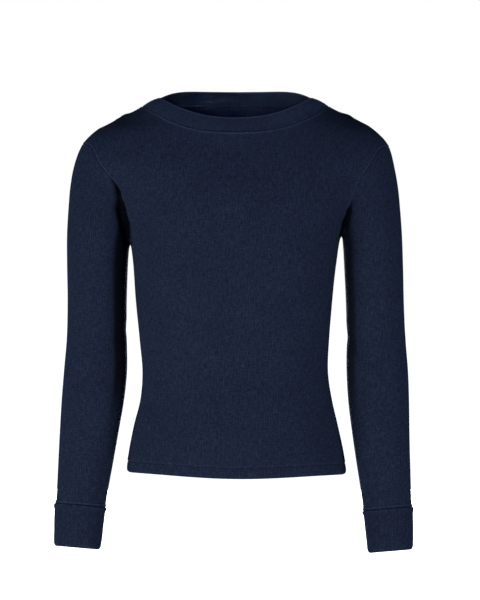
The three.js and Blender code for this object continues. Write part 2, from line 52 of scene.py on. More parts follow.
# %% [markdown]
# ## The camera
# The picture was taken from straight ahead, at the height of the chest and from a few steps away. A
# long lens does the same here: from 2.4 metres the nearer front of the hem drops a little lower than
# its sides, as it does in the picture. The lens is worked out from the height that the view takes in.

# %% Camera
CAMERA_AWAY = 2.4
CAMERA_SIDE = 0.00585
CAMERA_HEIGHT = -0.2509
VIEW_HEIGHT = 0.780

camera_data = bpy.data.cameras.new("camera")
camera_data.sensor_fit = "VERTICAL"
camera_data.sensor_height = 36.0
camera_data.lens = camera_data.sensor_height * CAMERA_AWAY / VIEW_HEIGHT
camera = bpy.data.objects.new("camera", camera_data)
camera.location = (CAMERA_SIDE, -CAMERA_AWAY, CAMERA_HEIGHT)
camera.rotation_euler = (math.pi / 2, 0, 0)
bpy.context.scene.collection.objects.link(camera)
bpy.context.scene.camera = camera
bpy.context.scene.view_settings.view_transform = "Standard"
print("lens", round(camera_data.lens, 1), "mm")

# %% [markdown]
# ## Light and floor
# Dark cloth is lit by two soft panels at the sides and a third near the front, all of them low. Their
# light leaves the tops of the shoulders and the inner sides of the sleeves dark, which shows the form.
# A small lamp in front sends a narrow beam over the collar into the neck, and one more stands behind.
# The room gives only a little cool light, and reads as white behind the top. The floor is a wide pale
# sheet under the cuffs, and lets the light of the low lamps through.

# %% Lights, world and floor
FLOOR_HEIGHT = -0.72
CHEST = (0, 0, -0.28)
ABOVE_NECK = (0, 0, 0.12)


def soft_panel(name, turn, height, away, width, power, aim=CHEST, spread=180):
    """A studio light on a stand, turn degrees round from the camera, that points at the top."""
    angle = math.radians(turn)
    place = (away * math.sin(angle), -away * math.cos(angle), height)
    data = bpy.data.lights.new(name, "AREA")
    data.shape = "RECTANGLE"
    data.size = width
    data.size_y = 1.5 * width
    data.energy = power
    data.spread = math.radians(spread)
    lamp = bpy.data.objects.new(name, data)
    lamp.location = place
    way = Vector(aim) - Vector(place)
    lamp.rotation_euler = way.to_track_quat("-Z", "Y").to_euler()
    bpy.context.scene.collection.objects.link(lamp)
    return lamp


soft_panel("left_light", -55, -0.95, 2.2, 0.9, 35)
soft_panel("right_light", 55, -0.95, 2.2, 0.9, 31)
soft_panel("front_light", -20, -0.8, 2.5, 0.8, 28)
soft_panel("neck_light", 0, 0.3, 2.6, 0.12, 0.23, ABOVE_NECK, 6)
soft_panel("back_light", 180, -0.5, 2.2, 1.2, 70)

world = bpy.data.worlds.new("white_room")
world.use_nodes = True
bpy.context.scene.world = world
room = world.node_tree
background = room.nodes["Background"]
seen = room.nodes.new("ShaderNodeLightPath")
ROOM_LIGHT = (0.042, 0.088, 0.17, 1)
shown = room.nodes.new("ShaderNodeMix")
shown.data_type = "RGBA"
shown.inputs["A"].default_value = ROOM_LIGHT
shown.inputs["B"].default_value = (1, 1, 1, 1)
room.links.new(seen.outputs["Is Camera Ray"], shown.inputs["Factor"])
room.links.new(shown.outputs["Result"], background.inputs["Color"])

FLOOR_HALF = 40.0
floor_mesh = bpy.data.meshes.new("floor")
floor_corners = [(-1, -1), (1, -1), (1, 1), (-1, 1)]
floor_mesh.from_pydata(
    [(FLOOR_HALF * x, FLOOR_HALF * y, FLOOR_HEIGHT) for x, y in floor_corners], [], [(0, 1, 2, 3)]
)
floor = bpy.data.objects.new("floor", floor_mesh)
bpy.context.scene.collection.objects.link(floor)
pale = bpy.data.materials.new("pale_floor")
pale.use_nodes = True
pale_shader = pale.node_tree.nodes["Principled BSDF"]
pale_shader.inputs["Base Color"].default_value = (0.93, 0.93, 0.93, 1)
pale_shader.inputs["Roughness"].default_value = 0.9
pale_shader.inputs["Specular IOR Level"].default_value = 0.1
pale_shader.inputs["Emission Color"].default_value = (1, 1, 1, 1)
pale_shader.inputs["Emission Strength"].default_value = 1.05
floor_mesh.materials.append(pale)
floor.visible_diffuse = False
floor.visible_glossy = False
floor.visible_shadow = False

# %% [markdown]
# ## The cut, as level sections
# A worn top is a tube for the trunk with two tubes for the arms. A table of level sections gives each
# tube: at every height, how wide it is and how far its front and back stand out. These are the sizes
# of the plain solids, in millimetres from the middle of the neck. A smooth curve through the rows
# gives any height between them.

# %% Sections of the body and the arms
BODY_SECTIONS = np.array([
    # height, middle, half width, front, back, squareness
    (-500, 1.3, 144.0, 88, 90, 2.2),
    (-475, 1.3, 142.5, 88, 90, 2.2),
    (-450, 0.9, 139.8, 87, 88, 2.25),
    (-415, 0.5, 132.5, 84, 80, 2.3),
    (-380, 1.0, 124.0, 80, 69, 2.35),
    (-345, -0.2, 120.4, 78, 63, 2.35),
    (-305, -1.5, 122.8, 80, 65, 2.35),
    (-250, -1.9, 127.5, 85, 74, 2.35),
    (-200, -1.0, 132.0, 89, 83, 2.35),
    (-165, -0.6, 138.0, 90, 87, 2.3),
    (-130, 1.0, 152.5, 89, 89, 2.25),
    (-100, 0.6, 170.5, 85, 88, 2.2),
    (-75, -0.7, 189.6, 79, 86, 2.15),
    (-52, 0, 193.0, 71, 82, 2.1),
    (-35, 0.5, 181.0, 65, 78, 2.08),
    (-18, 1.4, 153.4, 58, 73, 2.05),
    (0, 0, 121.5, 51, 67, 2.05),
    (12, 0, 98.0, 46, 61, 2.05),
], float)
ARM_SECTIONS = np.array([
    # height, outer side, inner side, front, back, sway to the right
    (-600, 231.0, 176.0, -68, -18, 0),
    (-571, 230.8, 172.0, -65, -13, 0),
    (-519, 231.0, 166.5, -60, -1, 0),
    (-508, 229.3, 165.5, -57, 2, 0),
    (-459, 227.5, 157.5, -51, 15, 0.3),
    (-420, 226.5, 151.5, -47, 25, 0.6),
    (-381, 225.5, 146.0, -44, 33, 1.0),
    (-342, 223.5, 143.0, -41, 39, 1.5),
    (-303, 220.5, 143.0, -39, 43, 1.4),
    (-250, 218.5, 142.5, -40, 46, 0.6),
    (-200, 218.0, 139.5, -42, 48, -0.2),
    (-165, 217.5, 134.0, -43, 48, -0.8),
    (-130, 215.5, 124.0, -42, 47, -1.2),
    (-100, 212.5, 118.0, -40, 45, -1.4),
    (-75, 207.0, 116.0, -36, 41, -1.4),
    (-52, 194.0, 120.0, -30, 34, -0.6),
    (-30, 172.0, 130.0, -20, 22, 0),
], float)


def section_at(table, height):
    """The table's row at any height, smooth through its own rows."""
    height = np.asarray(height, float)
    last = len(table) - 1
    i = np.clip(np.searchsorted(table[:, 0], height) - 1, 0, last - 1)
    before, a = table[np.maximum(i - 1, 0)], table[i]
    b, after = table[i + 1], table[np.minimum(i + 2, last)]
    span = b[..., :1] - a[..., :1]
    t = np.clip((height[..., None] - a[..., :1]) / span, 0, 1)
    slope_a = (b - before) / (b[..., :1] - before[..., :1])
    slope_b = (after - a) / (after[..., :1] - a[..., :1])
    ends = a * (1 + 2 * t) * (1 - t) ** 2 + b * t * t * (3 - 2 * t)
    return ends + span * (slope_a * t * (1 - t) ** 2 - slope_b * t * t * (1 - t))


print("waist half width", round(float(section_at(BODY_SECTIONS, -330)[2]), 1), "mm")

# %% [markdown]
# ## One form from three tubes
# The cloth does not turn a sharp corner where a sleeve leaves the body: it bridges across. For a point
# in space, the clearance of a tube says how far outside it the point lies. Where two clearances are
# nearly equal, the cloth stands off both by a small bridge, narrow in the armpit and wide over the
# shoulder. Every piece is then found on this one form.

# %% The form's functions
ARM_SQUARENESS = 2.15
ARM_TOP = -30
ELBOW = -300
CUFF_SEAM = -517
CUFF_END = -570
ARMPIT_BLEND = 5
SHOULDER_BLEND = 26
# rise, out and fuller of each sleeve, which hang a little unevenly, and how far each is taken in
HANG = {-1: (2.0, 0.6, 0.5, 1.8), 1: (-2.5, -3, -0.4, 5.2)}
TAKEN_IN_AT = -150
TAKEN_IN_REACH = 45


def between(a, b, share):
    return a + (b - a) * share


def ease(value, low, high):
    """0 below low, 1 above high and an S-shaped curve between."""
    t = np.clip((value - low) / (high - low), 0, 1)
    return t * t * (3 - 2 * t)


def reach(x, y, half_x, half_y, squareness):
    """How far a squared ellipse reaches from its middle towards (x, y)."""
    ratio = np.abs(x / half_x) ** squareness + np.abs(y / half_y) ** squareness
    return np.hypot(x, y) / np.maximum(ratio, 1e-12) ** (1 / squareness)


def body_at(height, in_front):
    """Middle, half width, depth and squareness of the body at a height."""
    section = section_at(BODY_SECTIONS, height)
    depth = np.where(in_front, section[..., 3], section[..., 4])
    return section[..., 1], section[..., 2], depth, section[..., 5]


def arm_at(side, height):
    """Middle (x, y) and half sizes of an arm; side is -1 or 1, or an array of them."""
    left = np.asarray(side) < 0
    rise, out, fuller, taken = (np.where(left, HANG[-1][i], HANG[1][i]) for i in range(4))
    share = np.clip((ELBOW - height) / (ELBOW - CUFF_SEAM), 0, 1)
    s = section_at(ARM_SECTIONS, height - rise * share)
    inner = s[..., 2] + taken * np.exp(-(((height - TAKEN_IN_AT) / TAKEN_IN_REACH) ** 2))
    x = s[..., 5] + side * ((s[..., 1] + inner) / 2 + out * share)
    y = (s[..., 3] + s[..., 4]) / 2
    return x, y, (s[..., 1] - inner) / 2 + fuller, (s[..., 4] - s[..., 3]) / 2


def clearances(p):
    """How far outside the body and outside the nearer arm each point lies, along the level."""
    x, y, z = p[..., 0], p[..., 1], p[..., 2]
    side = np.where(x < 0, -1, 1)
    middle, half_x, half_y, square = body_at(z, y < 0)
    body = np.hypot(x - middle, y) - reach(x - middle, y, half_x, half_y, square)
    ax, ay, arm_x, arm_y = arm_at(side, z)
    arm = np.hypot(x - ax, y - ay) - reach(x - ax, y - ay, arm_x, arm_y, ARM_SQUARENESS)
    return body, arm + np.maximum(z - ARM_TOP, 0)


def bridge(p):
    """How far the cloth stands off both tubes where it crosses from one to the other."""
    width = between(ARMPIT_BLEND, SHOULDER_BLEND, ease(p[..., 2], -160, -90))
    body, arm = clearances(p)
    share = np.maximum(1 - np.abs(body - arm) / width, 0)
    return share * share * width / 4


def face_point(mx, my, dx, dy, base, z):
    """The cloth's outer face from the middle (mx, my) towards (dx, dy), at height z."""
    length = np.maximum(np.hypot(dx, dy), 1e-9)
    radius = base
    for _ in range(6):
        p = np.stack(
            np.broadcast_arrays(mx + dx / length * radius, my + dy / length * radius, z), -1
        )
        radius = base + bridge(p)
    return np.stack(np.broadcast_arrays(mx + dx / length * radius, my + dy / length * radius, z), -1)


def body_point(facing, angle, z):
    """On the body: angle 0 is the middle of the front (facing -1) or back (1)."""
    angle, z = np.broadcast_arrays(np.asarray(angle, float), np.asarray(z, float))
    mx, half_x, half_y, square = body_at(z, facing < 0)
    dx = half_x * np.sin(angle)
    dy = facing * half_y * np.cos(angle)
    return face_point(mx, 0.0, dx, dy, reach(dx, dy, half_x, half_y, square), z)


def sleeve_point(side, angle, z):
    """On a sleeve: angle 0 is towards the body, a quarter turn the front, a half turn outside."""
    angle, z = np.broadcast_arrays(np.asarray(angle, float), np.asarray(z, float))
    mx, my, half_x, half_y = arm_at(side, z)
    dx = -side * half_x * np.cos(angle)
    dy = -half_y * np.sin(angle)
    return face_point(mx, my, dx, dy, reach(dx, dy, half_x, half_y, ARM_SQUARENESS), z)


def outward(p):
    """The direction straight out of the cloth at each point."""
    def clear(q):
        body, arm = clearances(q)
        return np.minimum(body, arm) - bridge(q)

    slopes = []
    for axis in range(3):
        step = np.zeros(3)
        step[axis] = 0.4
        slopes.append(clear(p + step) - clear(p - step))
    out = np.stack(slopes, -1)
    return out / np.linalg.norm(out, axis=-1, keepdims=True)


def crossing(low, high, rises):
    """Where a rising function crosses zero, for a whole array of places at once."""
    low, high = np.broadcast_arrays(np.asarray(low, float), np.asarray(high, float))
    low, high = low.copy(), high.copy()
    for _ in range(28):
        middle = (low + high) / 2
        below = rises(middle) < 0
        low = np.where(below, middle, low)
        high = np.where(below, high, middle)
    return (low + high) / 2


chest = body_point(-1, np.array([0.0]), np.array([-200.0]))[0]
print("front of the chest", chest.round(1), "mm")

# %% [markdown]
# ## The armholes and the neckline
# A sleeve is sewn in along a closed curve. On the real pattern that curve is drawn by the cutter. Here
# it is where body and arm clear a point equally, which runs in the hollow between them, as a set-in
# sleeve does. The neckline is a scooped curve at the front and nearly level at the back.

# %% Seam lines
QUARTER = math.pi / 2
NECK_POINT = 0
NECK_MIDDLE = {-1: -38.5, 1: 9.5}
NECK_SCOOP = 2.6
NECK_SHARE = 9 / 14  # of a panel's half width along the top, the rest is shoulder seam
NECK_HALF = float(section_at(BODY_SECTIONS, NECK_POINT)[2])


def meets(p):
    body, arm = clearances(p)
    return body - arm


def armhole_turn(side, low, high):
    """The height at which the armhole passes the body's very side."""
    return float(crossing(low, high, lambda z: meets(body_point(-1, side * QUARTER, z))))


ARMPIT = {side: armhole_turn(side, -215, -120) for side in (-1, 1)}
SHOULDER = {side: armhole_turn(side, -20, -100) for side in (-1, 1)}


def armhole_point(facing, side, up):
    """A point of the armhole; up runs from 0 in the armpit to 1 on the shoulder."""
    up = np.asarray(up, float)
    z = between(ARMPIT[side], SHOULDER[side], (1 - np.cos(np.pi * up)) / 2)
    angle = crossing(
        np.full_like(z, 0.35), QUARTER, lambda a: meets(body_point(facing, side * a, z))
    )
    angle = np.where((up <= 0) | (up >= 1), QUARTER, angle)
    return body_point(facing, side * angle, z)


def neckline_point(facing, side, share):
    """A point of the neckline; share runs from 0 in the middle to 1 on the shoulder."""
    sine = np.sin(np.asarray(share, float) * QUARTER)
    z = between(NECK_MIDDLE[facing], NECK_POINT, sine ** NECK_SCOOP)
    x = NECK_HALF * sine
    angle = crossing(np.zeros_like(z), QUARTER, lambda a: body_point(facing, a, z)[..., 0] - x)
    angle = np.where(share >= 1, QUARTER, np.where(share <= 0, 0.0, angle))
    return body_point(facing, side * angle, z)


print("armpits at", {k: round(v, 1) for k, v in ARMPIT.items()}, "mm")

# %% [markdown]
# ## Creases
# A knitted top worn on a body has few folds, all soft. They start where the cloth is pulled or has
# room to spare: at the armpits, in the bend of the elbow, at the waist and just above the cuffs. Each
# crease is a line with a width and a depth in millimetres, below zero for a trough, and fades towards
# its ends. Placing them one by one keeps them uneven, as real ones are.

# %% Crease table and its function
CREASES = np.array([
    # from x, y, z, to x, y, z, width, depth
    (-158, -47, -91, -149, -42, -118, 2.6, -4.5),
    (-151, -45, -106, -145, -34, -140, 4.2, -7.5),
    (-147, -36, -130, -139, -14, -174, 7.5, -11),
    (-150, -62, -96, -128, -34, -182, 6, 1.1),
    (-141, -53, -103, -128, -44, -154, 4.5, -2.0),
    (160, -48, -96, 135, -14, -172, 7, -1.2),
    (150, -41, -124, 145, -34, -141, 2.2, -3.6),
    (146, -36, -136, 139, -14, -168, 3.4, -6.0),
    (150, -62, -100, 128, -36, -176, 6, 0.9),
    (140, -70, -120, 116, -62, -190, 9, -0.9),
    (-118, -50, -318, -80, -76, -372, 10, -2.3),
    (-121, -36, -330, -92, -70, -392, 6, 0.8),
    (-108, -58, -352, -72, -82, -404, 9, -1.8),
    (-114, -40, -372, -84, -76, -424, 7, -1.1),
    (112, -54, -326, 78, -76, -378, 10, -1.8),
    (116, -42, -352, 86, -74, -404, 8, -1.2),
    (-124, -24, -286, -96, -66, -330, 9, -0.9),
    (120, -30, -292, 92, -68, -330, 9, -0.8),
    (-112, 52, -330, -62, 66, -372, 11, -2.6),
    (-104, 56, -350, -50, 70, -396, 8, 1.0),
    (-110, 50, -372, -58, 72, -414, 10, -1.6),
    (116, 50, -318, 66, 66, -366, 11, -2.4),
    (108, 54, -342, 56, 70, -388, 8, 1.0),
    (112, 50, -366, 60, 72, -408, 9, -1.5),
    (-60, 64, -322, 60, 64, -330, 13, -1.4),
    (-54, 66, -350, 62, 66, -346, 11, -1.1),
    (-158, 52, -96, -134, 18, -172, 8, -1.7),
    (158, 52, -94, 134, 16, -172, 8, -1.9),
    (-144, 74, -104, -112, 76, -176, 10, -1.4),
    (144, 74, -100, 112, 76, -170, 10, -1.5),
    (-150, -26, -296, -176, -41, -322, 9, -1.7),
    (-152, -24, -312, -178, -42, -342, 7, 0.8),
    (150, -24, -306, 178, -41, -334, 9, -1.9),
    (153, -22, -322, 180, -42, -352, 7, 0.9),
    (-146, 22, -282, -150, -20, -300, 9, -1.5),
    (147, 20, -292, 151, -22, -310, 9, -1.5),
    (-148, 30, -318, -176, 42, -346, 10, -1.3),
    (149, 30, -324, 178, 42, -350, 10, -1.4),
    (-168, -46, -478, -214, -46, -486, 7, -0.9),
    (-172, -44, -462, -206, -50, -456, 8, 0.7),
    (170, -46, -486, 214, -45, -480, 7, -1.0),
    (172, -46, -464, 208, -50, -470, 8, 0.7),
    (-212, 12, -440, -190, 8, -470, 9, -0.9),
    (212, 10, -446, 188, 8, -474, 9, -0.9),
    (-196, -42, -120, -160, -42, -150, 12, -0.9),
    (196, -42, -124, 160, -42, -154, 12, -0.8),
    (-196, 46, -118, -160, 48, -150, 12, -1.0),
    (196, 46, -116, 160, 48, -152, 12, -1.0),
    (-60, -66, -70, -30, -82, -128, 14, -0.7),
    (52, -68, -66, 74, -80, -124, 13, -1.0),
    (-30, -86, -400, -22, -86, -450, 14, 0.7),
    (46, -84, -392, 60, -84, -446, 15, -0.8),
], float)


def crease_depth(p):
    """How far the creases push the cloth out at each point, in millimetres."""
    depth = np.zeros(p.shape[:-1])
    for crease in CREASES:
        start, line = crease[:3], crease[3:6] - crease[:3]
        along = ((p - start) @ line) / (line @ line)
        nearest = start + np.clip(along, 0, 1)[..., None] * line
        away = np.linalg.norm(p - nearest, axis=-1)
        fade = np.clip(1.15 - np.abs(along - 0.5) * 1.3, 0, 1)
        depth += crease[7] * ease(fade, 0, 1) * np.exp(-((away / crease[6]) ** 2))
    return depth


def hang(p):
    """The faint unevenness of hanging knit, a third of a millimetre deep."""
    x, y, z = p[..., 0], p[..., 1], p[..., 2]
    waves = np.sin(x / 17 + z / 41) + np.sin(y / 13 - z / 29 + 1.3) + np.sin(x / 31 - y / 23 + z / 19)
    return 0.12 * waves


print(len(CREASES), "creases")

# %% [markdown]
# ## A shell of cloth
# Each piece is a grid of points on the outer face, with a second grid one wall thickness inside, closed
# all round its edges. A closed shell has a true thickness at the hem and cuffs, and it weighs and
# prints as cloth does. The grid's own lengths become the UV map, in metres, so the knit keeps its size
# wherever the cloth goes.

# %% Shell builder
def shell(name, outer, inner, uv, edge, tube):
    """A closed wall between two grids in millimetres; uv has one more column on a tube.

    edge is the painted light of each outer point: a painted highlight above 0, painted shade below 0.
    """
    rows, columns = outer.shape[:2]
    count = rows * columns
    r, c = np.meshgrid(np.arange(rows - 1), np.arange(columns if tube else columns - 1), indexing="ij")

    def corners(layer, dr, dc):
        vertex = layer * count + (r + dr) * columns + (c + dc) % columns
        return vertex, uv[r + dr, c + dc]

    loops, maps = [], []
    for layer, order in ((0, ((0, 0), (0, 1), (1, 1), (1, 0))), (1, ((0, 0), (1, 0), (1, 1), (0, 1)))):
        found = [corners(layer, dr, dc) for dr, dc in order]
        loops.append(np.stack([f[0] for f in found], -1).reshape(-1, 4))
        maps.append(np.stack([f[1] for f in found], -2).reshape(-1, 4, 2))

    def rim(first, second, flip):
        """Quads that close the wall along one edge of the grid."""
        a, b = first, second
        quad = np.stack([a, a + count, b + count, b], -1)
        flat = uv.reshape(-1, 2)
        wide = uv.shape[1]
        spots = np.stack([a // columns * wide + a % columns, b // columns * wide + b % columns], -1)
        cell = flat[spots[:, [0, 0, 1, 1]]]
        loops.append(quad[:, ::-1] if flip else quad)
        maps.append(cell[:, ::-1] if flip else cell)

    along = np.arange(columns if tube else columns - 1)
    rim(along, (along + 1) % columns, False)
    top = (rows - 1) * columns
    rim(top + along, top + (along + 1) % columns, True)
    if not tube:
        up = np.arange(rows - 1) * columns
        rim(up, up + columns, True)
        rim(up + columns - 1, up + 2 * columns - 1, False)

    points = np.concatenate([outer.reshape(-1, 3), inner.reshape(-1, 3)]) * MM
    quads = np.concatenate(loops)
    spread = np.concatenate(maps).reshape(-1, 2)
    a, b, d = points[quads[:, 0]], points[quads[:, 1]], points[quads[:, 2]]
    e = points[quads[:, 3]]
    volume = np.sum(np.cross(a, b) * d) + np.sum(np.cross(a, d) * e)
    if volume < 0:
        quads = quads[:, ::-1]
        spread = spread.reshape(-1, 4, 2)[:, ::-1].reshape(-1, 2)
    mesh = bpy.data.meshes.new(name)
    mesh.from_pydata(points.tolist(), [], quads.tolist())
    layer = mesh.uv_layers.new(name="cut")
    layer.data.foreach_set("uv", spread.astype(np.float32).ravel())
    # the edge attribute carries the painted highlights and painted shade, half as strong on the inner
    # face
    painted_tone = mesh.attributes.new("edge", "FLOAT", "POINT")
    edge = np.broadcast_to(edge, (rows, columns)).ravel()
    painted_tone.data.foreach_set("value", np.concatenate([edge, 0.5 * edge]).astype(np.float32))
    mesh.shade_smooth()
    mesh.update()
    piece = bpy.data.objects.new(name, mesh)
    bpy.context.scene.collection.objects.link(piece)
    print(name, "quads", len(quads), "volume", round(abs(volume) / 6 * 1e6, 1), "cm3")
    return piece


def lengths(points, axis):
    """Running length along one direction of a grid, from 0."""
    steps = np.linalg.norm(np.diff(points, axis=axis), axis=-1)
    return np.concatenate([np.zeros_like(np.take(steps, [0], axis)), np.cumsum(steps, axis)], axis)


# %% [markdown]
# ## Front and back panels
# Each panel is one cut piece, from the hem to the neckline and the shoulder seams. Below the armpit its
# rows are level. Above it they follow the armhole at their ends and turn into the neckline at the top,
# which a blend of the four edges does; the blended points are then put back on the form. Rows and
# columns crowd together near the edges, where the cloth rolls into its seams.

# %% Panel grid
KNIT = 1.4
HEM = 2.8
HEM_DEPTH = 13.4
HEM_MIDDLE = -475.5
HEM_SIDE = -474.5
HEM_LIFT = 2.4
HEM_TILT = 1.4
ARMPIT_MIDDLE = {-1: -186, 1: -182}
SEAM_GAP = 0.04


def lower_point(facing, side, share, across):
    bow = np.sin(across * QUARTER) ** NECK_SCOOP
    tilt = -side * HEM_TILT * np.sin(across * QUARTER)
    hem = between(HEM_MIDDLE, HEM_SIDE, bow) + HEM_LIFT * np.sin(2 * across * QUARTER) ** 2 + tilt
    armpit = between(ARMPIT_MIDDLE[facing], ARMPIT[side], bow)
    return body_point(facing, side * across * QUARTER, between(hem, armpit, share))


def top_point(facing, side, across):
    past = np.clip((across - NECK_SHARE) / (1 - NECK_SHARE), 0, 1)
    ridge = body_point(facing, side * QUARTER, between(NECK_POINT, SHOULDER[side], past ** 1.25))
    neck = neckline_point(facing, side, np.clip(across / NECK_SHARE, 0, 1))
    return np.where((across >= NECK_SHARE)[..., None], ridge, neck)


def upper_grid(facing, side, ups, across):
    """Rows between armpit and top edge, blended from the four edges and put on the form."""
    low = lower_point(facing, side, np.ones_like(across), across)
    high = top_point(facing, side, across)
    armhole = armhole_point(facing, side, ups)
    middle = body_point(facing, np.zeros_like(ups), between(low[0, 2], high[0, 2], ups))
    u, v = ups[:, None, None], across[None, :, None]
    sides = between(middle[:, None], armhole[:, None], v)
    corners = between(between(low[0], low[-1], v), between(high[0], high[-1], v), u)
    blended = between(low[None], high[None], u) + sides - corners
    z = blended[..., 2]
    mx, half_x, half_y, _ = body_at(z, facing < 0)
    angle = np.arctan2((blended[..., 0] - mx) / half_x, np.abs(blended[..., 1]) / half_y)
    return body_point(facing, angle, z)


HEM_RISES = [0, 0.35, 0.9, 1.7, 3.0, 5.0, 7.2, 9.2, 10.8, 11.8, 12.5, 13.0, 13.4, 13.9, 14.5, 15.4]
SIDE_LENGTH = ARMPIT_MIDDLE[-1] - HEM_MIDDLE
side_rises = np.concatenate([HEM_RISES, np.linspace(17, SIDE_LENGTH, 106)[:-1]])
edge_steps = np.array([4.2, 3.0, 2.1, 1.3, 0.6, 0])
upper_rows = np.concatenate([np.linspace(0, 1 - 5.6 / 150, 74), 1 - edge_steps / 150])
half_columns = np.concatenate([
    np.linspace(0, NECK_SHARE, 47)[:-1],
    np.linspace(NECK_SHARE, 1 - 5.6 / 175, 33),
    1 - edge_steps / 175,
])


def panel_grid(facing):
    """The panel's points from the left edge to the right, hem to top."""
    halves = []
    for side in (-1, 1):
        low = lower_point(facing, side, (side_rises / SIDE_LENGTH)[:, None], half_columns[None])
        grid = np.concatenate([low, upper_grid(facing, side, upper_rows, half_columns)])
        halves.append(grid[:, ::-1] if side < 0 else grid[:, 1:])
    return np.concatenate(halves, axis=1)


panels = {facing: panel_grid(facing) for facing in (-1, 1)}
print("panel grid", panels[-1].shape[:2])

# %% [markdown]
# ## Where the wales run
# In knitted cloth the wales, its upright columns of stitches, run straight up the piece. So the knit's
# first coordinate is the length of cloth round the body from the middle of the front, and its second
# is the length up the body. Both are measured on a coarse grid of the form and read off for every
# point of the panel.

# %% Measure the cloth on the body
MEASURE_ANGLES = np.linspace(0, QUARTER, 61)
MEASURE_HEIGHTS = np.linspace(-482, 14, 180)


def read_off(grid, row, column):
    """The value of a grid between its points."""
    r = np.clip(row, 0, grid.shape[0] - 1.001)
    c = np.clip(column, 0, grid.shape[1] - 1.001)
    i, j = r.astype(int), c.astype(int)
    fr, fc = r - i, c - j
    low = between(grid[i, j], grid[i, j + 1], fc)
    high = between(grid[i + 1, j], grid[i + 1, j + 1], fc)
    return between(low, high, fr)


def knit_map(facing, points):
    """Metres of cloth across and up, for every point of a panel."""
    form = body_point(facing, MEASURE_ANGLES[None, :], MEASURE_HEIGHTS[:, None])
    across, up = lengths(form, 1), lengths(form, 0)
    z = points[..., 2]
    mx, half_x, half_y, _ = body_at(z, facing < 0)
    x = points[..., 0] - mx
    angle = np.arctan2(np.abs(x) / half_x, np.abs(points[..., 1]) / half_y)
    row = (z - MEASURE_HEIGHTS[0]) / (MEASURE_HEIGHTS[1] - MEASURE_HEIGHTS[0])
    column = angle / MEASURE_ANGLES[1]
    u = np.sign(x) * read_off(across, row, column)
    return np.stack([u, read_off(up, row, column)], -1) * MM


# %% [markdown]
# ## Rolled edges at the seams
# Two knitted edges sewn together sink into a fine groove, and the seam allowance that lies behind one
# of them lifts it into a low ridge a few millimetres away. The dark groove and the light ridge are
# what the eye reads as a seam: both are shaped in the mesh, and the groove also gets painted shade and
# the ridge a painted highlight. The hem has its own groove where the stitches pull the turned cloth
# in, with painted shade in it and a painted highlight just above. The tops of the shoulders get
# painted shade, as they get the least light.

# %% Seam profile and panels
def seam_profile(away, ridge, at=2.6, groove=0.75, wide=0.85):
    """Height of the cloth at a distance from a seam: a groove, then a ridge."""
    sunk = -groove * np.exp(-((away / wide) ** 2))
    return sunk + ridge * np.exp(-(((away - at) / (0.6 * at)) ** 2))


def painted_seam_light(away, pale, at=1.9, groove=0.7, wide=0.8):
    """Painted shade in the groove and a painted highlight on the ridge beside it."""
    sunk = -groove * np.exp(-((away / wide) ** 2))
    return sunk + pale * np.exp(-(((away - at) / 0.95) ** 2))


def edge_distances(points):
    """How far each point of a panel lies from its sides and from its top, along the cloth."""
    along = lengths(points, 1)
    up = lengths(points, 0)
    sides = np.minimum(along, along[:, -1:] - along)
    return sides, up[-1:] - up, up


# distance of the ridge, depth and width of the groove
ARMHOLE_SEAM = (1.6, 0.55, 0.7)
NECK_SEAM = (1.6, 0.45, 0.55)


def panel_shell(facing, name):
    points = panels[facing]
    out = outward(points)
    sides, top, rise = edge_distances(points)
    columns = points.shape[1]
    at_middle = np.abs(np.arange(columns) - columns // 2)
    neck_columns = (at_middle <= 46)[None, :]
    armhole_rows = (np.arange(points.shape[0]) >= len(side_rises))[:, None]
    relief = crease_depth(points) + hang(points)
    relief *= ease(np.where(neck_columns, top, 99), 0, 6)
    relief += np.where(armhole_rows, seam_profile(sides, 0.4, *ARMHOLE_SEAM), seam_profile(sides, 0.3))
    relief += np.where(neck_columns, seam_profile(top, 0.6, *NECK_SEAM), seam_profile(top, 0.3))
    stitched = rise - HEM_DEPTH
    relief -= 0.55 * np.exp(-((stitched / 1.0) ** 2))
    relief += 0.35 * np.exp(-(((stitched - 3.0) / 1.8) ** 2))
    relief += 0.3 * np.exp(-(((rise - 6) / 4) ** 2))
    relief -= 1.0 * np.clip(1 - rise / 4.5, 0, 1) ** 2
    fold = 1.35 * np.clip(1 - rise / 1.7, 0, 1) ** 2.2
    # painted highlight beside every seam and above the hem stitches, painted shade in their grooves
    edge = np.where(armhole_rows, painted_seam_light(sides, 1.2, 1.3, 0.4, 0.5), painted_seam_light(sides, 0.3))
    edge += np.where(neck_columns, painted_seam_light(top, 1.5, 1.3, 0.4, 0.5), painted_seam_light(top, 0.2))
    edge += 0.22 * np.exp(-(((stitched - 1.9) / 1.1) ** 2)) - 0.26 * np.exp(-((stitched / 1.0) ** 2))
    # painted shade on the tops of the shoulders, which face up
    edge = (1 + edge) * (1 - 0.68 * ease(out[..., 2], 0.45, 0.9)) - 1
    outer = points + out * (relief - fold)[..., None]
    wall = between(HEM, KNIT, ease(rise, HEM_DEPTH, HEM_DEPTH + 1.6))
    inner = outer - out * (wall - 1.9 * fold)[..., None]
    pull = np.sign(facing) * SEAM_GAP / 2
    seam_side = np.zeros(points.shape[:2], bool)
    seam_side[: len(side_rises), [0, -1]] = True
    seam_side[-1, ~neck_columns[0]] = True
    for grid in (outer, inner):
        grid[..., 1] += np.where(seam_side, pull, 0)
    return shell(name, outer, inner, knit_map(facing, points), edge, False), outer, out


front, front_face, front_out = panel_shell(-1, "front")
back, back_face, back_out = panel_shell(1, "back")

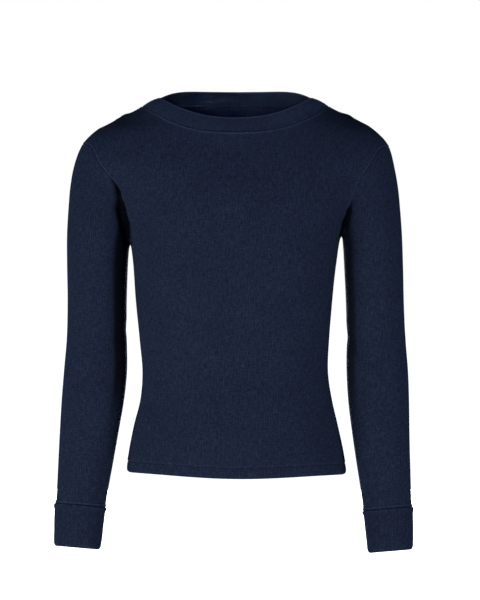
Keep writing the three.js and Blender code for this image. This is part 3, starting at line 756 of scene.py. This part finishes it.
# %% [markdown]
# ## Sleeves
# A sleeve is a tube. Its first ring is the armhole itself, and its rings turn level over the first few
# centimetres, then tilt forward with the forearm. The ring of points keeps its order all the way, so
# the wales run from the shoulder down to the cuff. The side of a sleeve that faces the body, the deep
# folds of the armpit and the top of the sleeve head get painted shade, because hardly any light gets
# there. The armhole seam and the cuff seam get a painted highlight beside a groove of painted shade.

# %% Sleeve grid
FAN_END = -205
LEAN_OUT = 0.08
LEAN_FORWARD = 0.14
RING = 168
FAN_RINGS = 56
ring_shares = np.arange(RING) / RING


def armhole_ring(side):
    """The armhole, from the armpit up the front, over the shoulder and down the back."""
    half = RING // 2
    up = np.arange(half + 1) / half
    front_half = armhole_point(-1, side, up)
    back_half = armhole_point(1, side, up[1:-1])[::-1]
    return np.concatenate([front_half, back_half])


def sleeve_ring(side, z):
    """A ring round the sleeve, tilted with the forearm below the elbow."""
    share = np.clip((ELBOW - z) / (ELBOW - CUFF_SEAM), 0, 1)
    angle = 2 * np.pi * ring_shares
    level = sleeve_point(side, angle, np.full(RING, float(z)))
    mx, my, _, _ = arm_at(side, z)
    tilt = LEAN_OUT * side * (level[:, 0] - mx) - LEAN_FORWARD * (level[:, 1] - my)
    return sleeve_point(side, angle, z + tilt * share)


def sleeve_grid(side):
    ring = armhole_ring(side)
    mx, my, half_x, half_y = arm_at(side, ring[:, 2])
    start = np.arctan2(-(ring[:, 1] - my) / half_y, -side * (ring[:, 0] - mx) / half_x)
    goal = 2 * np.pi * ring_shares
    start = np.where(start < goal - np.pi, start + 2 * np.pi, start)
    fan_shares = np.concatenate([[0, 0.004, 0.009, 0.015, 0.022], np.linspace(0.032, 1, FAN_RINGS)])
    rows = [
        sleeve_point(side, between(start, goal, s), between(ring[:, 2], FAN_END, s))
        for s in fan_shares
    ]
    seam = CUFF_SEAM + HANG[side][0]
    ends = seam + np.array([9, 7.4, 6, 4.8, 3.7, 2.7, 1.8, 1.0, 0.45, 0])
    levels = np.concatenate([np.linspace(FAN_END, seam + 11, 122)[1:], ends])
    rows += [sleeve_ring(side, z) for z in levels]
    return np.array(rows)


def tube_map(points):
    """Metres of cloth round a tube, from its outer line, and up along it."""
    closed = np.concatenate([points, points[:, :1]], axis=1)
    round_it = lengths(closed, 1)
    round_it -= round_it[:, [closed.shape[1] // 2]]
    up = lengths(closed[::-1], 0)[::-1]
    return np.stack([round_it, up], -1) * MM


# how far a sleeve has to turn towards the body to get painted shade, and how dark that painted shade is
INNER_SHADE = {-1: (0.53, 0.92), 1: (0.68, 0.7)}


def sleeve_shell(side, name):
    points = sleeve_grid(side)
    out = outward(points)
    up = lengths(points[::-1], 0)[::-1]
    down = up[:1] - up
    relief = (crease_depth(points) + hang(points)) * ease(up, 0, 6)
    relief += seam_profile(down, 0.15, *ARMHOLE_SEAM) + seam_profile(up, 0.7, 2.6, 0.35)
    # painted shade in the armhole and cuff seam grooves, a painted highlight beside them
    edge = painted_seam_light(down, 0.1, 1.9, 0.4, 0.5) + painted_seam_light(up, 0.55, 2.4, 0.4)
    turned, most = INNER_SHADE[side]
    # painted shade on the side that faces the body, in the deepest folds and on the top of the sleeve
    # head
    shade = most * ease(-side * out[..., 0], turned, turned + 0.18) * ease(points[..., 2], -430, -340)
    shade = np.maximum(shade, 0.85 * ease(-crease_depth(points), 2.0, 5.0))
    shade = np.maximum(shade, 0.4 * ease(out[..., 2], 0.5, 0.95))
    edge = (1 + edge) * (1 - shade) - 1
    outer = points + out * relief[..., None]
    inner = outer - out * KNIT
    return shell(name, outer, inner, tube_map(points), edge, True), outer, out


sleeve_left, left_face, left_out = sleeve_shell(-1, "sleeve_l")
sleeve_right, right_face, right_out = sleeve_shell(1, "sleeve_r")

# %% [markdown]
# ## Cuffs
# A cuff is a short tube of rib, folded double so that its end is a soft round fold. Rib is knitted with
# stitches that come forward and stitches that go back in turn, so its surface really stands in ridges.
# Those ridges are in the mesh here. The seam at the top stands out over the sleeve, because the wider
# sleeve is gathered into it.

# %% Cuff shells
RIB = 2.4
RIB_PITCH = 2.3
RIB_HEIGHT = 0.13
CUFF_BULGE = 1.5


def ribs(run, pitch):
    """The ridges of the rib along a length, rounded on top."""
    return RIB_HEIGHT * (np.abs(np.sin(np.pi * run / pitch)) ** 0.8 - 0.5)


def cuff_ring(side, z, count):
    share = np.clip((ELBOW - z) / (ELBOW - CUFF_SEAM), 0, 1)
    angle = 2 * np.pi * np.arange(count) / count
    level = sleeve_point(side, angle, np.full(count, float(z)))
    mx, my, _, _ = arm_at(side, z)
    tilt = LEAN_OUT * side * (level[:, 0] - mx) - LEAN_FORWARD * (level[:, 1] - my)
    return sleeve_point(side, angle, z + tilt * share)


def cuff_shell(side, name):
    seam = CUFF_SEAM + HANG[side][0] - SEAM_GAP
    end = CUFF_END + HANG[side][0]
    count = 504
    down = np.array([0, 0.3, 0.8, 1.5, 2.4, 3.6, 5.2, 7.2, 10, 14, 18, 22, 26, 30, 34, 38, 42, 45.5])
    last = seam - end
    down = np.concatenate([down, last - np.array([5.4, 3.6, 2.4, 1.5, 0.9, 0.4, 0.12, 0])])
    points = np.array([cuff_ring(side, seam - d, count) for d in down])
    out = outward(points)
    span = down[:, None]
    closed = np.concatenate([points, points[:, :1]], axis=1)
    total = lengths(closed, 1)[0, -1]
    pitch = total / round(total / RIB_PITCH)
    run = np.arange(count)[None] / count * total
    bulge = CUFF_BULGE * (1 - ease(span, 1, 7)) - 2.2 * np.clip(1 - (last - span) / 6, 0, 1) ** 2
    soft = 0.35 * np.sin(np.arange(count) / count * 2 * np.pi * 3 + side) * ease(span, 30, last)
    fade = ease(span, 0, 2.5) * ease(last - span, 0, 1.6)
    relief = bulge + soft + ribs(run, pitch) * fade - 0.35 * np.exp(-((span / 0.85) ** 2))
    fold = 1.15 * np.clip(1 - (last - span) / 1.6, 0, 1) ** 2.2
    outer = points + out * (relief - fold)[..., None]
    inner = outer - out * (RIB - 1.9 * fold)[..., None]
    # painted shade in the seam groove and the rib furrows, a painted highlight beside the seam and on
    # the rib tops
    edge = painted_seam_light(span, 0.15, 1.9, 0.4) + ribs(run, pitch) * fade
    return shell(name, outer, inner, tube_map(points), edge, True), outer, out


cuff_left, cuff_left_face, _ = cuff_shell(-1, "cuff_l")
cuff_right, cuff_right_face, _ = cuff_shell(1, "cuff_r")

# %% [markdown]
# ## Collar
# The collar is a band of the same rib, folded double and sewn round the neckline. It is shorter than
# the neckline it is sewn to, so it leans inward and its folded edge stays firm. It is lofted from the
# neckline to the loop of its top edge, a little fuller halfway up, and the fold at the top is round.

# %% Collar shell
COLLAR_HALF = 97.8
COLLAR_DEPTH = {-1: 53, 1: 47}
COLLAR_HEIGHT = {-1: -18, 1: 25.4}
COLLAR_SIDE = 12
COLLAR_POWER = {-1: 2.3, 1: 7}


def collar_top(facing, side, share):
    """A point of the collar's folded edge."""
    sine, cosine = np.sin(share * QUARTER), np.cos(share * QUARTER)
    depth = COLLAR_DEPTH[facing]
    length = reach(COLLAR_HALF * sine, depth * cosine, COLLAR_HALF, depth, 2.2)
    scale = length / np.hypot(COLLAR_HALF * sine, depth * cosine)
    x = COLLAR_HALF * sine * scale
    z = between(COLLAR_HEIGHT[facing], COLLAR_SIDE, (x / COLLAR_HALF) ** COLLAR_POWER[facing])
    return np.stack([side * x, facing * depth * cosine * scale, z], -1)


def neck_loop(quarter):
    """The neckline and the collar's top edge all round, from the left shoulder over the front."""
    seam, top = [], []
    shares = np.arange(quarter) / quarter
    stops = ((-1, -1, 1 - shares), (-1, 1, shares), (1, 1, 1 - shares), (1, -1, shares))
    for facing, side, share in stops:
        seam.append(neckline_point(facing, side, share))
        top.append(collar_top(facing, side, share))
    return np.concatenate(seam), np.concatenate(top)


def unit(v):
    return v / np.linalg.norm(v, axis=-1, keepdims=True)


seam_loop, fold_loop = neck_loop(190)
seam_out = outward(seam_loop)
loop_way = unit(np.roll(seam_loop, -1, 0) - np.roll(seam_loop, 1, 0))
band_up = unit(fold_loop - seam_loop)
band_out = unit(np.cross(loop_way, band_up))
band_out *= np.sign(np.sum(band_out * seam_out, -1, keepdims=True))
seam_mitre = unit(band_out + seam_out)
seam_way = unit(np.cross(loop_way, seam_mitre))
seam_way *= np.sign(np.sum(seam_way * band_up, -1, keepdims=True))

band_length = np.linalg.norm(fold_loop - seam_loop, axis=-1)
loop_run = lengths(np.concatenate([seam_loop, seam_loop[:1]])[:, None], 0)[:, 0]
COLLAR_RIBS = round(loop_run[-1] / 3.0)
collar_rows = np.array([0, 0.012, 0.03, 0.055, 0.085, 0.13, 0.19, 0.27, 0.36, 0.46, 0.56, 0.66, 0.75,
                        0.83, 0.885, 0.925, 0.955, 0.978, 0.993, 1.0])


def collar_shell():
    outer, inner, up, edge = [], [], [], []
    rib = ribs(loop_run[:-1], loop_run[-1] / COLLAR_RIBS)[:, None]
    # paler towards the collar's sides and darker at its middle
    painted_tone = 0.55 * np.abs(fold_loop[:, :1]) / COLLAR_HALF - 0.14
    for share in collar_rows:
        through = unit(between(seam_mitre, band_out, min(share / 0.34, 1)))
        start = seam_loop + seam_way * SEAM_GAP / 2
        away = (share * band_length)[:, None]
        rest = band_length[:, None] - away
        fade = ease(away, 0, 2.5) * ease(rest, 0, 2.5)
        fold = 1.2 * np.clip(1 - rest / 1.9, 0, 1) ** 2.2
        full = 1.5 * math.sin(math.pi * share)
        relief = full + 1.4 * rib * fade + seam_profile(away, 0, *NECK_SEAM) - fold
        at = between(start, fold_loop, share) + through * relief
        outer.append(at)
        inner.append(at - through * (RIB - 1.9 * fold))
        up.append(away[:, 0])
        # painted highlight along the fold and on the rib tops, painted shade in the rib furrows and in
        # the seam groove
        pale = painted_tone + 1.8 * np.exp(-(((rest - 1.6) / 1.2) ** 2)) + rib * fade * 3
        edge.append((pale + painted_seam_light(away, 0, 1.9, 0.5, 0.9))[:, 0])
    outer, inner = np.array(outer), np.array(inner)
    run = np.broadcast_to(loop_run, (len(collar_rows), len(loop_run)))
    rise = np.array(up)
    rise = np.concatenate([rise, rise[:, :1]], axis=1)
    spread = np.stack([run, rise], -1) * MM
    return shell("collar_band", outer, inner, spread, np.array(edge), True), outer


collar, collar_face = collar_shell()
print("collar ribs", COLLAR_RIBS, "band", band_length.min().round(1), "to", band_length.max().round(1))

# %% [markdown]
# ## Stitches that follow a seam
# Rows of stitches repeat along a line, which is work for Geometry Nodes. The tree turns a line of
# points into a curve, places one small rounded stitch every few tenths of a centimetre and turns each
# along the line. Its named inputs are the stitch's length, the gap after it and the thread's
# thickness. The result is made a plain mesh, so nothing depends on the tree afterwards.

# %% Stitch tree
def stitch_tree(thread):
    tree = bpy.data.node_groups.new("stitch_row", "GeometryNodeTree")
    face = tree.interface
    face.new_socket("Line", in_out="INPUT", socket_type="NodeSocketGeometry")
    for name, value in (("Stitch length", 0.0022), ("Gap", 0.0006), ("Thread", 0.00045)):
        socket = face.new_socket(name, in_out="INPUT", socket_type="NodeSocketFloat")
        socket.default_value = value
    face.new_socket("Stitches", in_out="OUTPUT", socket_type="NodeSocketGeometry")
    nodes, link = tree.nodes, tree.links.new
    given = nodes.new("NodeGroupInput")
    curve = nodes.new("GeometryNodeMeshToCurve")
    spaced = nodes.new("GeometryNodeResampleCurve")
    spaced.mode = "LENGTH"
    pitch = nodes.new("ShaderNodeMath")
    tangent = nodes.new("GeometryNodeInputTangent")
    turn = nodes.new("FunctionNodeAlignRotationToVector")
    turn.axis = "X"
    bead = nodes.new("GeometryNodeMeshUVSphere")
    bead.inputs["Segments"].default_value = 8
    bead.inputs["Rings"].default_value = 5
    bead.inputs["Radius"].default_value = 0.5
    size = nodes.new("ShaderNodeCombineXYZ")
    placed = nodes.new("GeometryNodeInstanceOnPoints")
    real = nodes.new("GeometryNodeRealizeInstances")
    smooth = nodes.new("GeometryNodeSetShadeSmooth")
    paint = nodes.new("GeometryNodeSetMaterial")
    paint.inputs["Material"].default_value = thread
    result = nodes.new("NodeGroupOutput")
    link(given.outputs["Line"], curve.inputs["Mesh"])
    link(curve.outputs["Curve"], spaced.inputs["Curve"])
    link(given.outputs["Stitch length"], pitch.inputs[0])
    link(given.outputs["Gap"], pitch.inputs[1])
    link(pitch.outputs[0], spaced.inputs["Length"])
    link(tangent.outputs["Tangent"], turn.inputs["Vector"])
    link(given.outputs["Stitch length"], size.inputs["X"])
    link(given.outputs["Thread"], size.inputs["Y"])
    link(given.outputs["Thread"], size.inputs["Z"])
    link(spaced.outputs["Curve"], placed.inputs["Points"])
    link(bead.outputs["Mesh"], placed.inputs["Instance"])
    link(turn.outputs["Rotation"], placed.inputs["Rotation"])
    link(size.outputs["Vector"], placed.inputs["Scale"])
    link(placed.outputs["Instances"], real.inputs["Geometry"])
    link(real.outputs["Geometry"], smooth.inputs["Geometry"])
    link(smooth.outputs["Geometry"], paint.inputs["Geometry"])
    link(paint.outputs["Geometry"], result.inputs["Stitches"])
    return tree


def stitch_row(name, points, closed, tree, **sizes):
    """A row of stitches along points in millimetres, as a plain mesh."""
    count = len(points)
    edges = [(i, (i + 1) % count) for i in range(count if closed else count - 1)]
    line = bpy.data.meshes.new(name + "_line")
    line.from_pydata((np.asarray(points) * MM).tolist(), edges, [])
    holder = bpy.data.objects.new(name + "_line", line)
    bpy.context.scene.collection.objects.link(holder)
    modifier = holder.modifiers.new("stitches", "NODES")
    modifier.node_group = tree
    sockets = {s.name: s.identifier for s in tree.interface.items_tree if s.in_out == "INPUT"}
    for key, value in sizes.items():
        modifier[sockets[key.replace("_", " ").capitalize()]] = value
    depsgraph = bpy.context.evaluated_depsgraph_get()
    mesh = bpy.data.meshes.new_from_object(holder.evaluated_get(depsgraph), depsgraph=depsgraph)
    mesh.name = name
    bpy.data.objects.remove(holder)
    piece = bpy.data.objects.new(name, mesh)
    bpy.context.scene.collection.objects.link(piece)
    print(name, "faces", len(mesh.polygons))
    return piece


# %% [markdown]
# ## The knit
# Close up, plain knit is columns of small Vs, and a thermal knit has fine upright ribs of them. The
# pattern is worked out from the UV map in metres: a dome across each wale, broken along it into
# slanting loops. It drives the bump and a slight change of colour, a painted shade where light sinks in
# between the wales. Yarn is never quite even, so short flecks run along the courses and along the
# wales. A slow mottling stands for dye and wear. The edge attribute of the mesh brings in painted
# highlights on seam ridges, folds and ribs and painted shade in seam grooves, rib furrows, deep folds,
# on the tops of the shoulders and on the sleeves' inner sides.

# %% Knit material
NAVY = (0.0095, 0.0149, 0.0335)


def nodes_of(name):
    material = bpy.data.materials.new(name)
    material.use_nodes = True
    return material, material.node_tree, material.node_tree.nodes["Principled BSDF"]


def maths(tree, operation, first, second=None):
    """One step of arithmetic on sockets or numbers."""
    node = tree.nodes.new("ShaderNodeMath")
    node.operation = operation
    for socket, value in zip(node.inputs, (first, second)):
        if value is None:
            continue
        if isinstance(value, (int, float)):
            socket.default_value = value
        else:
            tree.links.new(value, socket)
    return node.outputs[0]


def noise(tree, vector, scale, detail=2.0, stretch=(1, 1, 1)):
    """Noise whose spots are 1 / scale metres wide, before they are stretched."""
    spread = tree.nodes.new("ShaderNodeVectorMath")
    spread.operation = "MULTIPLY"
    spread.inputs[1].default_value = stretch
    node = tree.nodes.new("ShaderNodeTexNoise")
    node.inputs["Scale"].default_value = scale
    node.inputs["Detail"].default_value = detail
    tree.links.new(vector, spread.inputs[0])
    tree.links.new(spread.outputs["Vector"], node.inputs["Vector"])
    return node.outputs["Fac"]


def remap(tree, value, low, high, to_low, to_high):
    node = tree.nodes.new("ShaderNodeMapRange")
    for key, number in (("From Min", low), ("From Max", high), ("To Min", to_low), ("To Max", to_high)):
        node.inputs[key].default_value = number
    tree.links.new(value, node.inputs["Value"])
    return node.outputs["Result"]


def product(tree, *factors):
    result = factors[0]
    for factor in factors[1:]:
        result = maths(tree, "MULTIPLY", result, factor)
    return result


def knit_material(name, colour, wale, course, rib, fleck):
    """Knit with wales and courses of a size in metres, and a coarser rib of its own width."""
    material, tree, shader = nodes_of(name)
    link = tree.links.new
    cut = tree.nodes.new("ShaderNodeUVMap")
    cut.uv_map = "cut"
    split = tree.nodes.new("ShaderNodeSeparateXYZ")
    link(cut.outputs["UV"], split.inputs["Vector"])
    across = maths(tree, "FRACT", maths(tree, "DIVIDE", split.outputs["X"], wale))
    dome = maths(tree, "SINE", maths(tree, "MULTIPLY", across, math.pi))
    legs = maths(tree, "ABSOLUTE", maths(tree, "SUBTRACT", maths(tree, "MULTIPLY", across, 2.0), 1.0))
    slant = maths(tree, "MULTIPLY", legs, 0.5)
    run = maths(tree, "ADD", maths(tree, "DIVIDE", split.outputs["Y"], course), slant)
    loops = maths(tree, "SINE", maths(tree, "MULTIPLY", run, 2 * math.pi))
    stitches = product(tree, dome, remap(tree, loops, -1, 1, 0.45, 1.0))
    ridge = maths(tree, "SINE", maths(tree, "MULTIPLY", split.outputs["X"], 2 * math.pi / rib))
    place = tree.nodes.new("ShaderNodeTexCoord").outputs["Object"]
    yarn = noise(tree, place, 1500, 3)
    uneven = maths(tree, "ADD", maths(tree, "MULTIPLY", yarn, 0.5), maths(tree, "MULTIPLY", ridge, 0.4))
    bumped = tree.nodes.new("ShaderNodeBump")
    bumped.inputs["Strength"].default_value = 0.7
    bumped.inputs["Distance"].default_value = 0.0004
    link(maths(tree, "ADD", stitches, uneven), bumped.inputs["Height"])
    link(bumped.outputs["Normal"], shader.inputs["Normal"])
    courses = noise(tree, cut.outputs["UV"], 620, 1, (0.24, 1, 1))
    wales = noise(tree, cut.outputs["UV"], 560, 1, (1, 0.22, 1))
    specks = noise(tree, place, 520, 1)
    # random flecks and mottling of the yarn, with painted shade between the loops and in the furrows of
    # the ribs
    tone = product(
        tree,
        remap(tree, courses, 0.3, 0.7, 1 - fleck, 1 + fleck),
        remap(tree, wales, 0.3, 0.7, 1 - fleck, 1 + fleck),
        remap(tree, specks, 0.3, 0.7, 1 - fleck, 1 + fleck),
        remap(tree, noise(tree, place, 26, 3), 0.3, 0.7, 0.93, 1.07),
        remap(tree, stitches, 0, 1, 0.72, 1.14),
        remap(tree, ridge, -1, 1, 0.94, 1.06),
    )
    # the edge attribute multiplies in the painted highlights and painted shade laid on the mesh
    edge = tree.nodes.new("ShaderNodeAttribute")
    edge.attribute_name = "edge"
    tone = product(tree, tone, maths(tree, "ADD", edge.outputs["Fac"], 1.0))
    mixed = tree.nodes.new("ShaderNodeVectorMath")
    mixed.operation = "SCALE"
    mixed.inputs[0].default_value = colour
    link(tone, mixed.inputs["Scale"])
    link(mixed.outputs["Vector"], shader.inputs["Base Color"])
    link(remap(tree, yarn, 0.2, 0.8, 0.82, 0.98), shader.inputs["Roughness"])
    shader.inputs["Specular IOR Level"].default_value = 0.1
    shader.inputs["Sheen Weight"].default_value = 0.03
    shader.inputs["Sheen Roughness"].default_value = 0.5
    shader.inputs["Sheen Tint"].default_value = (0.3, 0.45, 0.8, 1)
    return material


thermal_knit = knit_material("thermal_knit", NAVY, 0.0016, 0.0012, 0.0032, 0.25)
rib_knit = knit_material("rib_knit", tuple(c * 0.93 for c in NAVY), 0.00115, 0.0011, 0.003, 0.24)
print("materials:", thermal_knit.name, rib_knit.name)

# %% [markdown]
# ## The thread
# Seams on a knit are sewn with a slightly shiny thread of the same colour, so each stitch catches a
# small light. The thread's own twist is a fine slanting wave on it.

# %% Thread material
def thread_material():
    material, tree, shader = nodes_of("navy_thread")
    link = tree.links.new
    place = tree.nodes.new("ShaderNodeTexCoord").outputs["Object"]
    twist = tree.nodes.new("ShaderNodeTexWave")
    twist.inputs["Scale"].default_value = 900
    twist.inputs["Distortion"].default_value = 1.5
    link(place, twist.inputs["Vector"])
    shade = tree.nodes.new("ShaderNodeVectorMath")
    shade.operation = "SCALE"
    shade.inputs[0].default_value = tuple(c * 1.6 for c in NAVY)
    link(remap(tree, twist.outputs["Fac"], 0, 1, 0.7, 1.2), shade.inputs["Scale"])
    link(shade.outputs["Vector"], shader.inputs["Base Color"])
    bumped = tree.nodes.new("ShaderNodeBump")
    bumped.inputs["Strength"].default_value = 0.4
    bumped.inputs["Distance"].default_value = 0.0001
    link(twist.outputs["Fac"], bumped.inputs["Height"])
    link(bumped.outputs["Normal"], shader.inputs["Normal"])
    shader.inputs["Roughness"].default_value = 0.55
    shader.inputs["Specular IOR Level"].default_value = 0.3
    return material


thread = thread_material()
row_of_stitches = stitch_tree(thread)

# %% [markdown]
# ## Sew the rows
# The lines for the stitches are read off the finished faces, at a set distance from each seam: the hem
# row in its groove, one row on the body just under the collar, one on the body beside each armhole and
# one on the sleeve above each cuff. Each stitch lies half sunk in the knit.

# %% Stitch lines
def line_at(face, out, run, distance, lift):
    """Points where a grid's running length, down each column, passes a distance."""
    points = []
    for c in range(face.shape[1]):
        order = np.argsort(run[:, c])
        spot = [np.interp(distance, run[order, c], face[order, c, i]) for i in range(3)]
        way = [np.interp(distance, run[order, c], out[order, c, i]) for i in range(3)]
        points.append(np.array(spot) + unit(np.array(way)) * lift)
    return np.array(points)


def hem_line(face, out):
    return line_at(face, out, lengths(face, 0), HEM_DEPTH, 0.12)


def neck_line(face, out):
    up = lengths(face, 0)
    columns = face.shape[1]
    span = slice(columns // 2 - 46, columns // 2 + 47)
    return line_at(face[:, span], out[:, span], (up[-1:] - up)[:, span], 1.5, 0.1)


def armhole_line(face, out, left):
    """The row beside an armhole on one panel, from the armpit to the shoulder."""
    rows = slice(len(side_rises), face.shape[0])
    run = lengths(face, 1)
    run = run if left else run[:, -1:] - run
    turned = [np.swapaxes(a[rows], 0, 1) for a in (face, out)]
    return line_at(turned[0], turned[1], run[rows].T, 1.5, 0.05)


hem_rows = [hem_line(front_face, front_out), hem_line(back_face, back_out)[::-1]]
neck_rows = [neck_line(front_face, front_out), neck_line(back_face, back_out)[::-1]]
sewn = {
    "front_hem_stitches": (hem_rows[0], False),
    "back_hem_stitches": (hem_rows[1], False),
    "front_neck_stitches": (neck_rows[0], False),
    "back_neck_stitches": (neck_rows[1], False),
    "front_armhole_stitches_l": (armhole_line(front_face, front_out, True), False),
    "front_armhole_stitches_r": (armhole_line(front_face, front_out, False), False),
    "back_armhole_stitches_l": (armhole_line(back_face, back_out, True), False),
    "back_armhole_stitches_r": (armhole_line(back_face, back_out, False), False),
}
for side, face, out in ((-1, left_face, left_out), (1, right_face, right_out)):
    up = lengths(face[::-1], 0)[::-1]
    name = "cuff_stitches_" + ("l" if side < 0 else "r")
    sewn[name] = (line_at(face, out, up, 3.2, 0.1), True)

stitches = {
    name: stitch_row(name, points, closed, row_of_stitches, stitch_length=0.0022, gap=0.0007)
    for name, (points, closed) in sewn.items()
}

# %% [markdown]
# ## The neck seam inside
# Through the neck opening the inside of the back shows, and with it the neck seam: the raw edges of
# panel and collar, bound together by a narrow tape of the same knit. It is a flat ribbon laid against
# the inside just below the seam, all round the neck, with rounded edges.

# %% Neck tape
TAPE_WIDTH = 7.0
TAPE_THICK = 0.9


def neck_tape():
    """A closed ribbon under the neck seam, on the inside of the panels."""
    profile = []
    for i in range(24):
        turn = 2 * np.pi * i / 24
        across = abs(math.cos(turn)) ** 0.5 * math.copysign(1, math.cos(turn))
        deep = abs(math.sin(turn)) ** 0.8 * math.copysign(1, math.sin(turn))
        profile.append((across * TAPE_WIDTH / 2, deep * TAPE_THICK / 2))
    step = 2
    start = seam_loop[::step] - seam_mitre[::step] * (RIB + 0.55)
    down = -unit(np.cross(np.roll(start, -1, 0) - np.roll(start, 1, 0), seam_out[::step]))
    down *= -np.sign(np.sum(down * seam_way[::step], -1, keepdims=True))
    middle = start + down * (TAPE_WIDTH / 2 - 1.0)
    out = seam_out[::step]
    rows = np.array([middle + down * a + out * d for a, d in profile])
    count = rows.shape[1]
    points = rows.reshape(-1, 3) * MM
    quads, spread = [], []
    run = loop_run[::step] * MM
    for i in range(len(profile)):
        j = (i + 1) % len(profile)
        for c in range(count):
            d = (c + 1) % count
            quads.append((i * count + c, i * count + d, j * count + d, j * count + c))
            right = run[c + 1] if c + 1 < len(run) else loop_run[-1] * MM
            low, high = i * 0.0007, (i + 1) * 0.0007
            spread += [(run[c], low), (right, low), (right, high), (run[c], high)]
    mesh = bpy.data.meshes.new("neck_tape")
    mesh.from_pydata(points.tolist(), [], quads)
    mesh.uv_layers.new(name="cut").data.foreach_set("uv", np.array(spread, np.float32).ravel())
    work = bmesh.new()
    work.from_mesh(mesh)
    bmesh.ops.recalc_face_normals(work, faces=work.faces)
    work.to_mesh(mesh)
    work.free()
    mesh.shade_smooth()
    piece = bpy.data.objects.new("neck_tape", mesh)
    bpy.context.scene.collection.objects.link(piece)
    return piece


tape = neck_tape()
print("neck tape", round(loop_run[-1]), "mm long")

# %% [markdown]
# ## Materials and bodies
# Every shell stands for the plain solid of the same piece, which is hidden, takes its knit material and
# moves with the one body of the top.

# %% Materials and bodies
def cloth(piece, node, material):
    piece.data.materials.clear()
    piece.data.materials.append(material)
    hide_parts(node)
    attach(piece, BODY)


for piece in stitches.values():
    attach(piece, BODY)
tape.data.materials.append(thermal_knit)
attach(tape, BODY)


cloth(front, "front_panel", thermal_knit)
cloth(back, "back_panel", thermal_knit)
cloth(sleeve_left, "sleeve_left", thermal_knit)
cloth(sleeve_right, "sleeve_right", thermal_knit)
cloth(collar, "collar", rib_knit)
cloth(cuff_left, "cuff_left", rib_knit)
cloth(cuff_right, "cuff_right", rib_knit)
